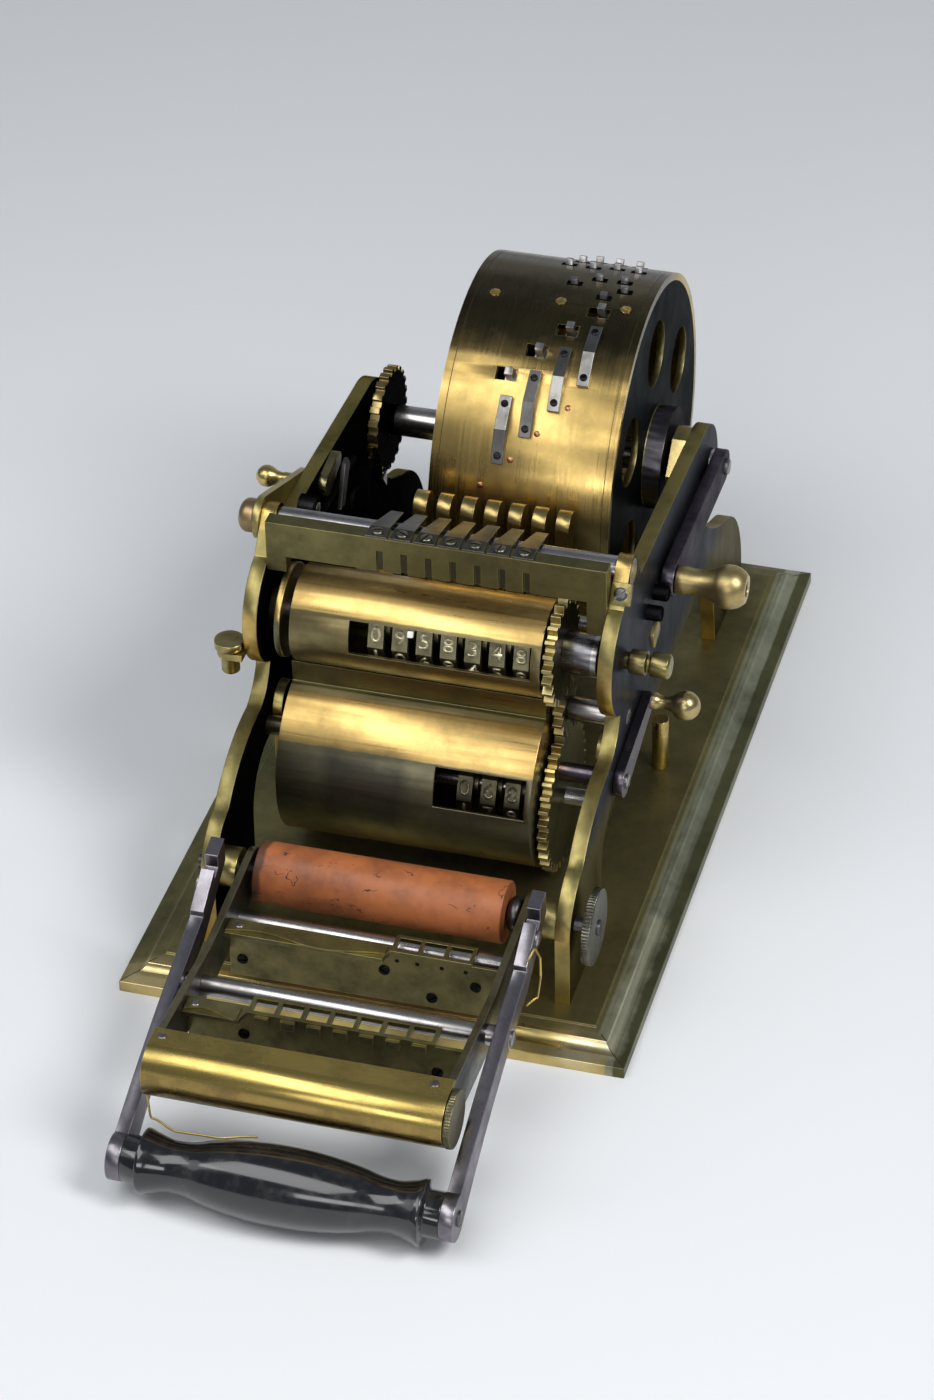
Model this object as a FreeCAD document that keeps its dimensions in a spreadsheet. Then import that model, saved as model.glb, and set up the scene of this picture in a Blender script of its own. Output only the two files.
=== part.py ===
"""Pinwheel calculator with a printing swing frame, as a parametric FreeCAD document.

Frame of the part: X to the right, Y to the back, Z up, millimetres. The origin is the centre of
the underside of the base. Everything that turns has its axis along X, apart from the thumb screw.
Angles are in degrees and are counted from +Y towards +Z.
"""
import FreeCAD, Part
import math
import os
import re
import types

V = FreeCAD.Vector
doc = FreeCAD.newDocument("pinwheel_calculator")
sheet = doc.addObject("Spreadsheet::Sheet", "sizes")

# ---------------------------------------------------------------- driving dimensions
# One row per size: alias, value in millimetres (or degrees, or a count), meaning.
DIMENSIONS = [
    ("running_clearance", 0.05, "radial gap of a shaft in its bore"),
    ("side_clearance", 0.4, "axial gap between a turning piece and its neighbour"),
    ("seat_gap", 0.3, "gap between a spring or stop and what it rests on"),
    ("base_width", 203.2, "base, left to right"),
    ("base_depth", 335.2, "base, front to back"),
    ("base_height", 11.0, "base, underside to top"),
    ("moulding_width", 14.8, "width of the moulded border"),
    ("moulding_edge", 4.8, "height of the upright fillet at the rim"),
    ("moulding_band", 4.5, "width of the flat band at the rim"),
    ("moulding_bead", 0.8, "step down at the inner line of the border"),
    ("frame_gap", 136.2, "clear width between the side frames"),
    ("frame_thickness", 6.0, "side frame plate"),
    ("front_foot_y", -143.6, "front face of the side frames"),
    ("front_foot_depth", 48.0, "front foot, front to back"),
    ("rear_foot_y", 149.4, "rear face of the side frames"),
    ("rear_foot_depth", 49.0, "rear foot, front to back"),
    ("arch_height", 60.0, "crown of the open arch between the feet"),
    ("arm_height", 138.0, "top edge of the side frames"),
    ("register_y", -57.2, "axis of both registers"),
    ("lobe_radius", 22.5, "round lobe of the frames at the upper register"),
    ("shaft_radius", 3.5, "register shafts"),
    ("shaft_reach", 18.0, "upper register shaft, past the right frame"),
    ("collar_radius", 5.0, "collars on the upper register shaft"),
    ("upper_cover_left", -56.0, "left end of the upper register cover"),
    ("lower_cover_left", -58.8, "left end of the lower register cover"),
    ("cover_right", 44.8, "right end of the register covers"),
    ("cover_wall", 1.2, "wall of the register covers"),
    ("upper_cover_radius", 19.4, "outside of the upper cover"),
    ("lower_cover_radius", 36.6, "outside of the lower cover"),
    ("lower_cover_z", 51.7, "axis of the lower cover, above that of the lower shaft"),
    ("apron_y", -66.8, "front face of the upright strip between the covers"),
    ("upper_window_left", -32.0, "upper window"),
    ("upper_window_right", 41.0, "upper window"),
    ("upper_window_top", 145.3, "upper window, upper edge (angle)"),
    ("upper_window_bottom", 188.0, "upper window, lower edge (angle)"),
    ("lower_window_left", 5.6, "lower window"),
    ("lower_window_right", 42.3, "lower window"),
    ("lower_window_top", 147.0, "lower window, upper edge (angle)"),
    ("lower_window_bottom", 172.9, "lower window, lower edge (angle)"),
    ("end_ring_radius", 19.0, "end ring of the upper register"),
    ("end_ring_gap", 4.0, "end ring, left of the upper cover"),
    ("end_ring_width", 2.5, "end ring of the upper register"),
    ("wheel_pitch", 9.75, "pitch of the figure wheels"),
    ("upper_wheel_start", -22.0, "middle of the first upper figure wheel"),
    ("lower_wheel_start", 12.3, "middle of the first lower figure wheel"),
    ("wheel_width", 6.4, "figure wheel rim"),
    ("wheel_radius", 16.4, "figure wheel, over its corners"),
    ("wheel_rim", 3.0, "figure wheel, thickness of its rim"),
    ("wheel_web", 2.4, "figure wheel, thickness of its web"),
    ("wheel_hub_radius", 6.0, "figure wheel hub"),
    ("wheel_faces", 10, "figures on a figure wheel"),
    ("upper_figure_angle", 162.2, "flat that shows in the upper window (angle)"),
    ("lower_figure_angle", 155.0, "flat that shows in the lower window (angle)"),
    ("upper_wheel_count", 7, "figure wheels in the upper register"),
    ("lower_wheel_count", 3, "figure wheels in the lower register"),
    ("gear_module", 1.75, "register gears"),
    ("gear_left", 46.2, "left face of the register gears"),
    ("gear_width", 4.0, "register gears"),
    ("addendum", 0.7, "tooth tip above the pitch circle, in modules"),
    ("dedendum", 1.0, "tooth root below the pitch circle, in modules"),
    ("tooth_share", 0.42, "tooth thickness at the pitch circle, in circular pitches / 2"),
    ("upper_teeth", 24, "upper gear"),
    ("idler_teeth", 12, "idler pinion"),
    ("lower_teeth", 34, "lower gear"),
    ("idler_offset", 5.0, "idler axis, behind the register axes"),
    ("gear_floor_gap", 1.0, "gap under the lower gear"),
    ("hanger_thickness", 4.0, "hangers of the lower shaft inside the side frames"),
    ("hanger_radius", 8.0, "hangers of the lower shaft"),
    ("tie_y", -45.5, "tie rod axis"),
    ("tie_z", 147.9, "tie rod axis"),
    ("tie_radius", 5.2, "tie rod"),
    ("eye_wall", 1.4, "side frame round the tie rod"),
    ("tie_knob_radius", 6.8, "end knob of the tie rod"),
    ("tie_knob_length", 7.0, "end knob of the tie rod"),
    ("bar_front", -63.6, "front face of the cross bar"),
    ("bar_depth", 6.6, "cross bar, front to back"),
    ("bar_height", 15.4, "cross bar"),
    ("bar_top", 158.8, "top of the cross bar"),
    ("bar_leg_width", 8.0, "end legs of the cross bar"),
    ("right_leg_drop", 15.0, "right leg below the cross bar"),
    ("left_leg_drop", 7.0, "left leg below the cross bar"),
    ("bar_slot_width", 2.6, "slots in the front of the cross bar"),
    ("bar_slot_depth", 1.0, "slots in the front of the cross bar"),
    ("bar_slot_drop", 6.0, "upper end of the slots, below the top of the cross bar"),
    ("spring_width", 8.6, "finger spring at its root"),
    ("spring_tip_width", 5.0, "finger spring at its tip"),
    ("spring_thickness", 0.9, "finger spring"),
    ("spring_reach", 9.6, "finger springs, past the tie rod axis"),
    ("spring_gap", 1.2, "gap between a finger spring and the tie rod"),
    ("drum_y", 86.6, "drum axis"),
    ("drum_z", 110.7, "drum axis"),
    ("drum_radius", 75.8, "outside of the drum"),
    ("drum_wall", 3.0, "wall of the drum"),
    ("drum_left", -25.3, "left end of the drum"),
    ("drum_right", 49.6, "right end of the drum"),
    ("disc_thickness", 3.0, "end discs of the drum"),
    ("disc_hole_radius", 14.0, "lightening holes of the end discs"),
    ("disc_hole_orbit", 47.5, "circle of the lightening holes' centres"),
    ("disc_hole_count", 6, "lightening holes of each end disc"),
    ("disc_hole_angle", 25.0, "first lightening hole (angle)"),
    ("hub_radius", 21.5, "hub flange of the drum"),
    ("hub_length", 8.0, "hub flange of the drum"),
    ("drum_shaft_radius", 6.5, "drum shaft"),
    ("latch_left", -66.8, "left face of the toothed latch wheel"),
    ("latch_width", 4.2, "toothed latch wheel"),
    ("latch_radius", 22.5, "toothed latch wheel"),
    ("latch_teeth", 24, "toothed latch wheel"),
    ("latch_tooth_height", 1.8, "toothed latch wheel"),
    ("cam_start", 2.4, "middle of the first cam bar"),
    ("cam_pitch", 9.8, "pitch along X of the cam bars"),
    ("cam_bar_width", 5.0, "cam bar on the drum"),
    ("cam_bar_ridge", 4.4, "height of a cam bar at its ridge"),
    ("cam_bar_end", 2.4, "height of a cam bar at its ends"),
    ("cam_bar_span", 20.5, "angle that a cam bar spans on the drum"),
    ("cam_bar_angle", 154.1, "front end of the first cam bar (angle)"),
    ("setting_start", 0.2, "middle of the first setting slot"),
    ("setting_pitch", 9.9, "pitch along X of the setting slots"),
    ("setting_angle", 126.6, "first setting slot (angle)"),
    ("row_step_angle", 8.75, "turn of the drum from one row to the next"),
    ("row_count", 4, "cam bars, and setting slots with their levers"),
    ("slot_length", 9.0, "setting slot, along X"),
    ("slot_width", 5.6, "setting slot, round the drum"),
    ("tab_length", 3.2, "setting lever tab, along X"),
    ("tab_width", 3.2, "setting lever tab, round the drum"),
    ("tab_height", 4.2, "setting lever tab above the drum"),
    ("tab_rest", 1.5, "tab at rest, right of the middle of its slot"),
    ("tab_foot_margin", 1.0, "foot of a setting lever, past its tab at each end"),
    ("tab_foot_thickness", 1.8, "foot of a setting lever"),
    ("crank_radius", 86.0, "drum axis to crank handle axis"),
    ("crank_rest_angle", 178.2, "crank at rest (angle)"),
    ("crank_width", 14.0, "crank bar"),
    ("crank_thickness", 5.0, "crank bar"),
    ("crank_gap", 1.2, "gap between frame and crank"),
    ("crank_stud_radius", 3.0, "stud of the crank handle"),
    ("grip_length", 28.0, "crank handle"),
    ("grip_radius", 8.9, "ball end of the crank handle"),
    ("grip_collar_radius", 5.8, "collar of the crank handle"),
    ("bearing_front", 18.2, "front face of the bearing block, before the drum axis"),
    ("bearing_rear", 13.8, "rear face of the bearing block, behind the drum axis"),
    ("bearing_top", 14.4, "top of the bearing block, above the drum axis"),
    ("bearing_bottom", 10.7, "underside of the bearing block, below the drum axis"),
    ("roller_y", -134.6, "rubber roller axis"),
    ("roller_z", 44.5, "rubber roller axis"),
    ("roller_radius", 12.3, "rubber roller"),
    ("roller_left", -52.0, "left end of the rubber"),
    ("roller_right", 47.4, "right end of the rubber"),
    ("roller_shaft_radius", 3.0, "rubber roller shaft"),
    ("bush_radius", 8.0, "brass bushes of the rubber roller"),
    ("bush_length", 8.1, "brass bushes of the rubber roller"),
    ("roller_knob_left", 79.5, "inner face of the knurled disc knob"),
    ("roller_knob_radius", 15.0, "knurled disc knob"),
    ("roller_knob_width", 3.6, "knurled disc knob"),
    ("plate_inner", 54.4, "inner face of the swing frame's side plates"),
    ("plate_thickness", 3.0, "side plates of the swing frame"),
    ("plate_boss", 9.0, "round rear end of the side plates"),
    ("arm_inner", 61.0, "inner face of the handle arms"),
    ("arm_thickness", 5.4, "handle arms"),
    ("rod_radius", 4.0, "rods of the swing frame"),
    ("rear_rod_y", -155.1, "rear rod of the swing frame"),
    ("rear_rod_z", 35.5, "rear rod of the swing frame"),
    ("front_rod_y", -199.6, "front rod of the swing frame"),
    ("front_rod_z", 40.0, "front rod of the swing frame"),
    ("handle_y", -273.0, "handle axis"),
    ("handle_z", 16.0, "handle axis"),
    ("handle_radius", 15.2, "handle at its middle"),
    ("handle_neck_radius", 9.9, "necks of the handle"),
    ("handle_end_radius", 9.0, "handle at its ends"),
    ("handle_flange_radius", 12.6, "flanges of the handle"),
    ("handle_flange_inset", 7.0, "flanges of the handle, from its ends"),
    ("handle_neck_inset", 17.5, "necks of the handle, from its ends"),
    ("handle_bulge_half", 31.0, "half the length of the handle's bulge"),
    ("arm_end_radius", 9.0, "front end of the handle arms"),
    ("arm_head", 30.0, "rear end of the handle arms, above the front rod"),
    ("arm_head_depth", 8.5, "rear end of the handle arms, front to back"),
    ("arm_step", 4.5, "steps in the top edge of the handle arms"),
    ("arm_shoulder", 28.0, "shoulder of the handle arms, from their rear end"),
    ("arm_depth", 10.5, "handle arms, top edge to bottom edge"),
    ("feed_y", -251.6, "feed roller axis"),
    ("feed_z", 44.0, "feed roller axis"),
    ("feed_roller_radius", 6.0, "feed roller inside the round guard"),
    ("feed_shaft_radius", 2.5, "feed roller shaft"),
    ("guard_radius", 11.0, "outside of the round guard"),
    ("guard_wall", 1.5, "round guard"),
    ("guard_lip", 9.0, "flat lip of the round guard, front to back"),
    ("guard_end_angle", 250.0, "lower edge of the round guard (angle)"),
    ("feed_knob_radius", 11.0, "knurled feed knob"),
    ("feed_knob_width", 2.6, "knurled feed knob"),
    ("comb_wall", 1.3, "upright sheet of the comb plates"),
    ("comb_top", 2.0, "flat top of the comb plates"),
    ("comb_rib", 1.6, "ribs between the windows of the combs"),
    ("comb_pitch", 10.2, "pitch of the windows in the combs"),
    ("comb_depth", 10.0, "row of windows, front to back"),
    ("comb_overhang", 5.4, "plain strip of the combs, before the upright sheet"),
    ("comb_strip", 9.0, "plain strip of the combs, front to back"),
    ("comb_tooth", 5.4, "teeth under the windows of the long comb"),
    ("short_comb_y", -168.4, "upright sheet of the short comb"),
    ("short_comb_z", 45.0, "top of the short comb"),
    ("short_comb_drop", 25.0, "short comb, top to bottom"),
    ("short_comb_start", 16.2, "middle of the short comb's first window"),
    ("long_comb_y", -217.8, "upright sheet of the long comb"),
    ("long_comb_z", 47.0, "top of the long comb"),
    ("long_comb_drop", 18.0, "long comb, top to bottom"),
    ("long_comb_start", -24.9, "middle of the long comb's first window"),
    ("carry_drum_gap", 24.4, "carry lever shaft, before the front of the drum"),
    ("carry_z", 96.0, "carry lever shaft"),
    ("carry_shaft_radius", 3.0, "carry lever shaft"),
    ("carry_start", -23.5, "middle of the first carry lever"),
    ("carry_width", 5.5, "carry lever"),
    ("carry_boss_radius", 5.4, "carry lever at its shaft"),
    ("carry_head_radius", 6.0, "rounded head of a carry lever"),
    ("carry_lean", 14.0, "rounded head of a carry lever, behind its shaft"),
    ("carry_head_z", 131.6, "rounded head of a carry lever"),
    ("rocker_y", -71.6, "rocker shaft and locating pin"),
    ("rocker_z", 66.5, "rocker shaft and locating pin"),
    ("rocker_radius", 3.9, "rocker shaft and locating pin"),
    ("rocker_left", 51.5, "left end of the rocker shaft"),
    ("rocker_ball_y", -29.6, "ball of the rocker lever"),
    ("rocker_ball_z", 75.0, "ball of the rocker lever"),
    ("rocker_grip_radius", 6.0, "ball of the rocker lever"),
    ("rocker_thickness", 3.6, "arm of the rocker lever"),
    ("rocker_neck_radius", 2.9, "neck of the rocker lever's grip"),
    ("rocker_reach", 13.5, "ball of the rocker lever, past its arm"),
    ("release_y", 5.4, "release lever shaft"),
    ("release_z", 131.0, "release lever shaft"),
    ("release_radius", 2.6, "release lever shaft"),
    ("release_ball_radius", 4.5, "ball of the release lever"),
    ("release_neck_radius", 2.5, "neck of the release lever's grip"),
    ("release_reach", 13.0, "ball of the release lever, past its bracket"),
    ("release_crank", 14.3, "inner crank of the release lever, shaft to tip"),
    ("release_crank_thickness", 3.4, "inner crank of the release lever"),
    ("bracket_thickness", 2.8, "plate that carries the release lever"),
    ("bracket_eye_radius", 8.6, "plate that carries the release lever, round the tie rod"),
    ("bracket_end_radius", 5.4, "plate that carries the release lever, round its shaft"),
    ("thumb_x", -80.6, "thumb screw axis"),
    ("thumb_y", -76.6, "thumb screw axis"),
    ("thumb_lug_bottom", 103.0, "underside of the thumb screw's lug"),
    ("thumb_lug_height", 3.0, "lug of the thumb screw"),
    ("thumb_lug_wall", 1.5, "lug of the thumb screw, round its bore"),
    ("thumb_drop", 8.0, "thumb screw below its lug"),
    ("thumb_head_radius", 6.0, "thumb screw head"),
    ("thumb_head_height", 3.4, "thumb screw head"),
    ("thumb_radius", 3.6, "thumb screw body"),
    ("post_x", 72.0, "stop post axis"),
    ("post_y", 10.7, "stop post axis"),
    ("post_radius", 3.4, "stop post"),
    ("post_height", 24.0, "stop post"),
]
for row, (alias, value, meaning) in enumerate(DIMENSIONS, start=1):
    sheet.set(f"A{row}", meaning)
    sheet.set(f"B{row}", str(value))
    sheet.setAlias(f"B{row}", alias)
doc.recompute()
ALIASES = {alias for alias, value, meaning in DIMENSIONS}
s = types.SimpleNamespace(**{alias: float(getattr(sheet, alias)) for alias in ALIASES})

# ---------------------------------------------------------------- derived places
FRAME_IN = "(frame_gap / 2)"
FRAME_OUT = "(frame_gap / 2 + frame_thickness)"
LOWER_Z = "(base_height + gear_floor_gap + gear_module * (lower_teeth / 2 + addendum))"
IDLER_Y = "(register_y + idler_offset)"
IDLER_Z = (f"({LOWER_Z} + sqrt((gear_module * (lower_teeth + idler_teeth) / 2)^2"
           " - idler_offset^2))")
UPPER_Z = (f"({IDLER_Z} + sqrt((gear_module * (upper_teeth + idler_teeth) / 2)^2"
           " - idler_offset^2))")
BAR_BOTTOM = "(bar_top - bar_height)"
CRANK_LEFT = f"({FRAME_OUT} + crank_gap)"
CRANK_RIGHT = f"({CRANK_LEFT} + crank_thickness)"
CRANK_END_Y = "(drum_y + crank_radius * cos(crank_rest_angle))"
CRANK_END_Z = "(drum_z + crank_radius * sin(crank_rest_angle))"
BRACKET_OUT = f"({FRAME_OUT} + bracket_thickness)"
THUMB_LUG_TOP = "(thumb_lug_bottom + thumb_lug_height)"
CARRY_Y = "(drum_y - drum_radius - carry_drum_gap)"
NODES = []


def number(text):
    """What an expression over the aliases gives now."""
    return float(sheet.evalExpression(text))


def bind(feature, **cells):
    """Tie properties of a feature to expressions over the sheet. A double underscore is a dot."""
    for name, text in cells.items():
        linked = re.sub(r"[a-z][a-z_]*",
                        lambda m: f"sizes.{m.group(0)}" if m.group(0) in ALIASES else m.group(0),
                        str(text))
        feature.setExpression(name.replace("__", "."), linked)
    return feature


def node(label, feature):
    """Register a finished piece under the name of its node."""
    feature.Label = label
    NODES.append(feature)
    return feature


# ---------------------------------------------------------------- solids from primitives
def rod(name, left, right, y, z, radius):
    """A cylinder along X, from left to right."""
    feature = doc.addObject("Part::Cylinder", name)
    feature.Placement = FreeCAD.Placement(V(0, 0, 0), FreeCAD.Rotation(V(0, 1, 0), 90))
    return bind(feature, Radius=radius, Height=f"({right}) - ({left})", Placement__Base__x=left,
                Placement__Base__y=y, Placement__Base__z=z)


def upright(name, x, y, bottom, top, radius):
    """A cylinder along Z."""
    feature = doc.addObject("Part::Cylinder", name)
    return bind(feature, Radius=radius, Height=f"({top}) - ({bottom})", Placement__Base__x=x,
                Placement__Base__y=y, Placement__Base__z=bottom)


def block(name, x, y, z, length, depth, height):
    """A box by its lowest corner and its sizes along X, Y and Z."""
    feature = doc.addObject("Part::Box", name)
    return bind(feature, Length=length, Width=depth, Height=height, Placement__Base__x=x,
                Placement__Base__y=y, Placement__Base__z=z)


def join(name, *pieces):
    feature = doc.addObject("Part::MultiFuse", name)
    feature.Shapes = list(pieces)
    return feature


def cut(name, base, *tools):
    feature = doc.addObject("Part::Cut", name)
    feature.Base = base
    feature.Tool = tools[0] if len(tools) == 1 else join(f"{name}_tools", *tools)
    return feature


def group(name, pieces):
    """Separate solids that share one node."""
    feature = doc.addObject("Part::Compound", name)
    feature.Links = list(pieces)
    return feature


# ---------------------------------------------------------------- solids from outlines
def segments(path):
    """Lines and arcs through a closed path. An entry ("via", a, b) is the middle of an arc."""
    edges = []
    start = path[0]
    middle = None
    for entry in list(path[1:]) + [path[0]]:
        if entry[0] == "via":
            middle = entry[1:]
            continue
        if middle is None:
            edges.append(Part.LineSegment(V(*start, 0), V(*entry, 0)))
        else:
            edges.append(Part.Arc(V(*start, 0), V(*middle, 0), V(*entry, 0)))
        start = entry
        middle = None
    return edges


def sketch_on(body, role, name, *paths):
    """A sketch with closed outlines on an origin plane of its body."""
    plane = [f for f in body.Origin.OriginFeatures if f.Role == role][0]
    sketch = body.newObject("Sketcher::SketchObject", name)
    sketch.AttachmentSupport = (plane, [""])
    sketch.MapMode = "FlatFace"
    for path in paths:
        sketch.addGeometry(segments(path), False)
    return sketch


def plate(name, left, thickness, *paths):
    """A plate across X: outlines in Y and Z (the first outside, the others holes), padded."""
    body = doc.addObject("PartDesign::Body", name)
    sketch = sketch_on(body, "YZ_Plane", f"{name}_outline", *paths)
    bind(sketch, AttachmentOffset__Base__z=left)
    pad = body.newObject("PartDesign::Pad", f"{name}_pad")
    pad.Profile = sketch
    bind(pad, Length=thickness)
    return body


def flat(name, bottom, thickness, *paths):
    """A plate across Z: outlines in X and Y (the first outside, the others holes), padded."""
    body = doc.addObject("PartDesign::Body", name)
    sketch = sketch_on(body, "XY_Plane", f"{name}_outline", *paths)
    bind(sketch, AttachmentOffset__Base__z=bottom)
    pad = body.newObject("PartDesign::Pad", f"{name}_pad")
    pad.Profile = sketch
    bind(pad, Length=thickness)
    return body


def turned(name, profile, y, z, x="0"):
    """A piece turned about an axis along X. The profile is a closed path of (x, radius)."""
    body = doc.addObject("PartDesign::Body", name)
    sketch = sketch_on(body, "XY_Plane", f"{name}_profile", profile)
    turn = body.newObject("PartDesign::Revolution", f"{name}_turn")
    turn.Profile = sketch
    turn.ReferenceAxis = (sketch, ["H_Axis"])
    turn.Angle = 360.0
    return bind(body, Placement__Base__x=x, Placement__Base__y=y, Placement__Base__z=z)


def on_circle(centre, radius, degrees):
    """The point (y, z) of a circle at an angle."""
    angle = math.radians(degrees)
    return (centre[0] + radius * math.cos(angle), centre[1] + radius * math.sin(angle))


def via(point):
    return ("via",) + tuple(point)


def rectangle(left, right, front, rear):
    """A closed path: an upright rectangle."""
    return [(left, front), (right, front), (right, rear), (left, rear)]


def sector(centre, inner, outer, start, end):
    """A closed path: part of a ring between two radii and two angles."""
    middle = (start + end) / 2
    return [on_circle(centre, inner, start), via(on_circle(centre, inner, middle)),
            on_circle(centre, inner, end), on_circle(centre, outer, end),
            via(on_circle(centre, outer, middle)), on_circle(centre, outer, start)]


def link(first, first_radius, second, second_radius):
    """A closed path: two round ends joined by their outer tangents."""
    length = math.dist(first, second)
    axis = math.degrees(math.atan2(second[1] - first[1], second[0] - first[0]))
    lean = math.degrees(math.acos((first_radius - second_radius) / length))
    return [on_circle(first, first_radius, axis + lean),
            via(on_circle(first, first_radius, axis + 180)),
            on_circle(first, first_radius, axis - lean),
            on_circle(second, second_radius, axis - lean),
            via(on_circle(second, second_radius, axis)),
            on_circle(second, second_radius, axis + lean)]


def toothed(teeth, pitch_radius, module, centre, tooth_angle):
    """A spur gear outline with straight flanks, one tooth pointing along tooth_angle."""
    tip = pitch_radius + s.addendum * module
    root = pitch_radius - s.dedendum * module
    at_pitch = s.tooth_share * math.pi * module / 2
    slope = math.tan(math.radians(20))
    path = []
    for tooth in range(teeth):
        middle = tooth_angle + 360 * tooth / teeth
        for radius, side in ((root, -1), (tip, -1), (tip, 1), (root, 1)):
            half = at_pitch - (radius - pitch_radius) * slope
            path.append(on_circle(centre, radius, middle + side * math.degrees(half / radius)))
    return path


# ---------------------------------------------------------------- base
def moulding_cutter(name, turn, reach, length):
    """What is planed away along one edge of the base: a cove between a band and a slope."""
    edge = -number(reach)
    band = edge + s.moulding_band
    inner = edge + s.moulding_width
    lip = s.base_height - s.moulding_bead
    band_top = s.moulding_edge + (lip - s.moulding_edge) * 0.26
    cove_end = (band + inner) / 2 - (inner - band) * 0.07
    above = s.base_height + 1
    path = [(edge - 1, s.moulding_edge), (edge, s.moulding_edge), (band, band_top),
            via((band + (cove_end - band) * 0.72, band_top + (lip - band_top) * 0.3)),
            (cove_end, lip - (lip - band_top) * 0.25), (inner, lip), (inner, above),
            (edge - 1, above)]
    cutter = plate(name, f"-({length}) / 2 - 1", f"({length}) + 2", path)
    cutter.Placement = FreeCAD.Placement(V(0, 0, 0), FreeCAD.Rotation(V(0, 0, 1), turn))
    return cutter


def make_base():
    """Base board with a mitred moulding on its four edges."""
    board = block("base_board", "-base_width / 2", "-base_depth / 2", "0", "base_width",
                  "base_depth", "base_height")
    cutters = [moulding_cutter("front_moulding", 0, "base_depth / 2", "base_width"),
               moulding_cutter("right_moulding", 90, "base_width / 2", "base_depth"),
               moulding_cutter("rear_moulding", 180, "base_depth / 2", "base_width"),
               moulding_cutter("left_moulding", 270, "base_width / 2", "base_depth")]
    node("base_plate", cut("base", board, *cutters))
    node("stop_post", upright("post", "post_x", "post_y", "base_height",
                              "base_height + post_height", "post_radius"))


# ---------------------------------------------------------------- side frames
def frame_outline():
    """The casting's outline: front foot, register lobe, tie rod eye, long arm and rear foot."""
    front = s.front_foot_y
    rear = s.rear_foot_y
    floor = s.base_height
    axis = (s.register_y, number(UPPER_Z))
    eye = (s.tie_y, s.tie_z)
    eye_radius = s.tie_radius + s.eye_wall
    lobe_low = on_circle(axis, s.lobe_radius, 249)
    lobe_high = on_circle(axis, s.lobe_radius + 3.5, 97.5)
    arm_end = (s.drum_y + 11.3, s.drum_z - 5.7)
    return [(front, floor), (front, s.roller_z - 2.5), via((front + 8, s.roller_z + 12.5)),
            (front + 21, s.roller_z + 18.5), via((front + 36, s.roller_z + 29)),
            (front + 64, s.roller_z + 35.5),
            via((lobe_low[0] - 4.5, lobe_low[1] - 7)), lobe_low,
            via(on_circle(axis, s.lobe_radius, 173)), lobe_high,
            on_circle(eye, eye_radius, 138), via(on_circle(eye, eye_radius, 82)),
            on_circle(eye, eye_radius, 24), (s.tie_y + 11.9, s.arm_height + 1),
            (number(CARRY_Y) + 16, s.arm_height), (s.drum_y - 13.2, s.drum_z + 23.5),
            via((s.drum_y + 7.8, s.drum_z + 12.3)), arm_end,
            (s.drum_y + 7.8, s.drum_z - 12.7), (s.drum_y - 13.2, s.drum_z - 19.7),
            via((rear - 51, s.arch_height + 11)), (rear - 32, s.arch_height + 2),
            via((rear - 9, s.arch_height - 15)), (rear, floor)]


def arch_outline():
    """The open arch between the two feet."""
    front = s.front_foot_y + s.front_foot_depth
    rear = s.rear_foot_y - s.rear_foot_depth
    crown = s.arch_height
    return [(front, s.base_height), (front + 1, crown - 22),
            via((front + 7, crown - 7)), (front + 28, crown), (rear - 43, crown),
            via((rear - 13, crown - 7.5)), (rear - 5, crown - 24), (rear, s.base_height)]


def make_side_frames():
    """Two cast side frames with a hanger for the lower shaft, bored for the shafts they carry."""
    lower = (s.register_y, number(LOWER_Z))
    hanger_root = (s.register_y, s.arch_height + s.hanger_radius)
    shared = [("tie", "tie_y", "tie_z", "tie_radius"),
              ("upper", "register_y", UPPER_Z, "shaft_radius"),
              ("lower", "register_y", LOWER_Z, "shaft_radius"),
              ("carry", CARRY_Y, "carry_z", "carry_shaft_radius"),
              ("rocker", "rocker_y", "rocker_z", "rocker_radius"),
              ("roller", "roller_y", "roller_z", "roller_shaft_radius"),
              ("drum", "drum_y", "drum_z", "drum_shaft_radius")]
    left_only = [("release", "release_y", "release_z", "release_radius")]
    right_only = [("idler", IDLER_Y, IDLER_Z, "carry_shaft_radius")]
    for side, left, inside, bores in (
            ("left", f"-{FRAME_OUT}", f"-{FRAME_IN}", shared + left_only),
            ("right", FRAME_IN, f"{FRAME_IN} - hanger_thickness", shared + right_only)):
        casting = cut(f"{side}_casting",
                      plate(f"{side}_blank", left, "frame_thickness", frame_outline()),
                      plate(f"{side}_arch", f"{left} - 1", "frame_thickness + 2", arch_outline()))
        hanger = plate(f"{side}_hanger", inside, "hanger_thickness",
                       link(hanger_root, s.hanger_radius + 1, lower, s.hanger_radius))
        reach = "(frame_thickness + hanger_thickness + 1)"
        drills = [rod(f"{side}_{name}_bore", f"{left} - {reach}", f"{left} + {reach}", y, z,
                      f"{radius} + running_clearance") for name, y, z, radius in bores]
        node(f"{side}_side_frame",
             cut(f"{side}_frame", join(f"{side}_frame_solid", casting, hanger), *drills))


# ---------------------------------------------------------------- tie rod, cross bar, springs
def make_tie_rod():
    node("tie_rod", rod("tie_bar", f"-{BRACKET_OUT}", FRAME_OUT, "tie_y", "tie_z", "tie_radius"))
    length = s.tie_knob_length
    radius = s.tie_knob_radius
    profile = [(0, 0), (0, radius * 0.92), (length * 0.12, radius), (length * 0.55, radius),
               via((length * 0.88, radius * 0.8)), (length, radius * 0.35), (length, 0)]
    mirrored = [("via", -e[1], e[2]) if e[0] == "via" else (-e[0], e[1]) for e in profile]
    node("tie_rod_knob", turned("knob", mirrored, "tie_y", "tie_z", f"-{BRACKET_OUT}"))


def wheel_x(start, index):
    """Middle of a figure wheel, and of what lines up with it."""
    return f"({start} + {index} * wheel_pitch)"


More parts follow.
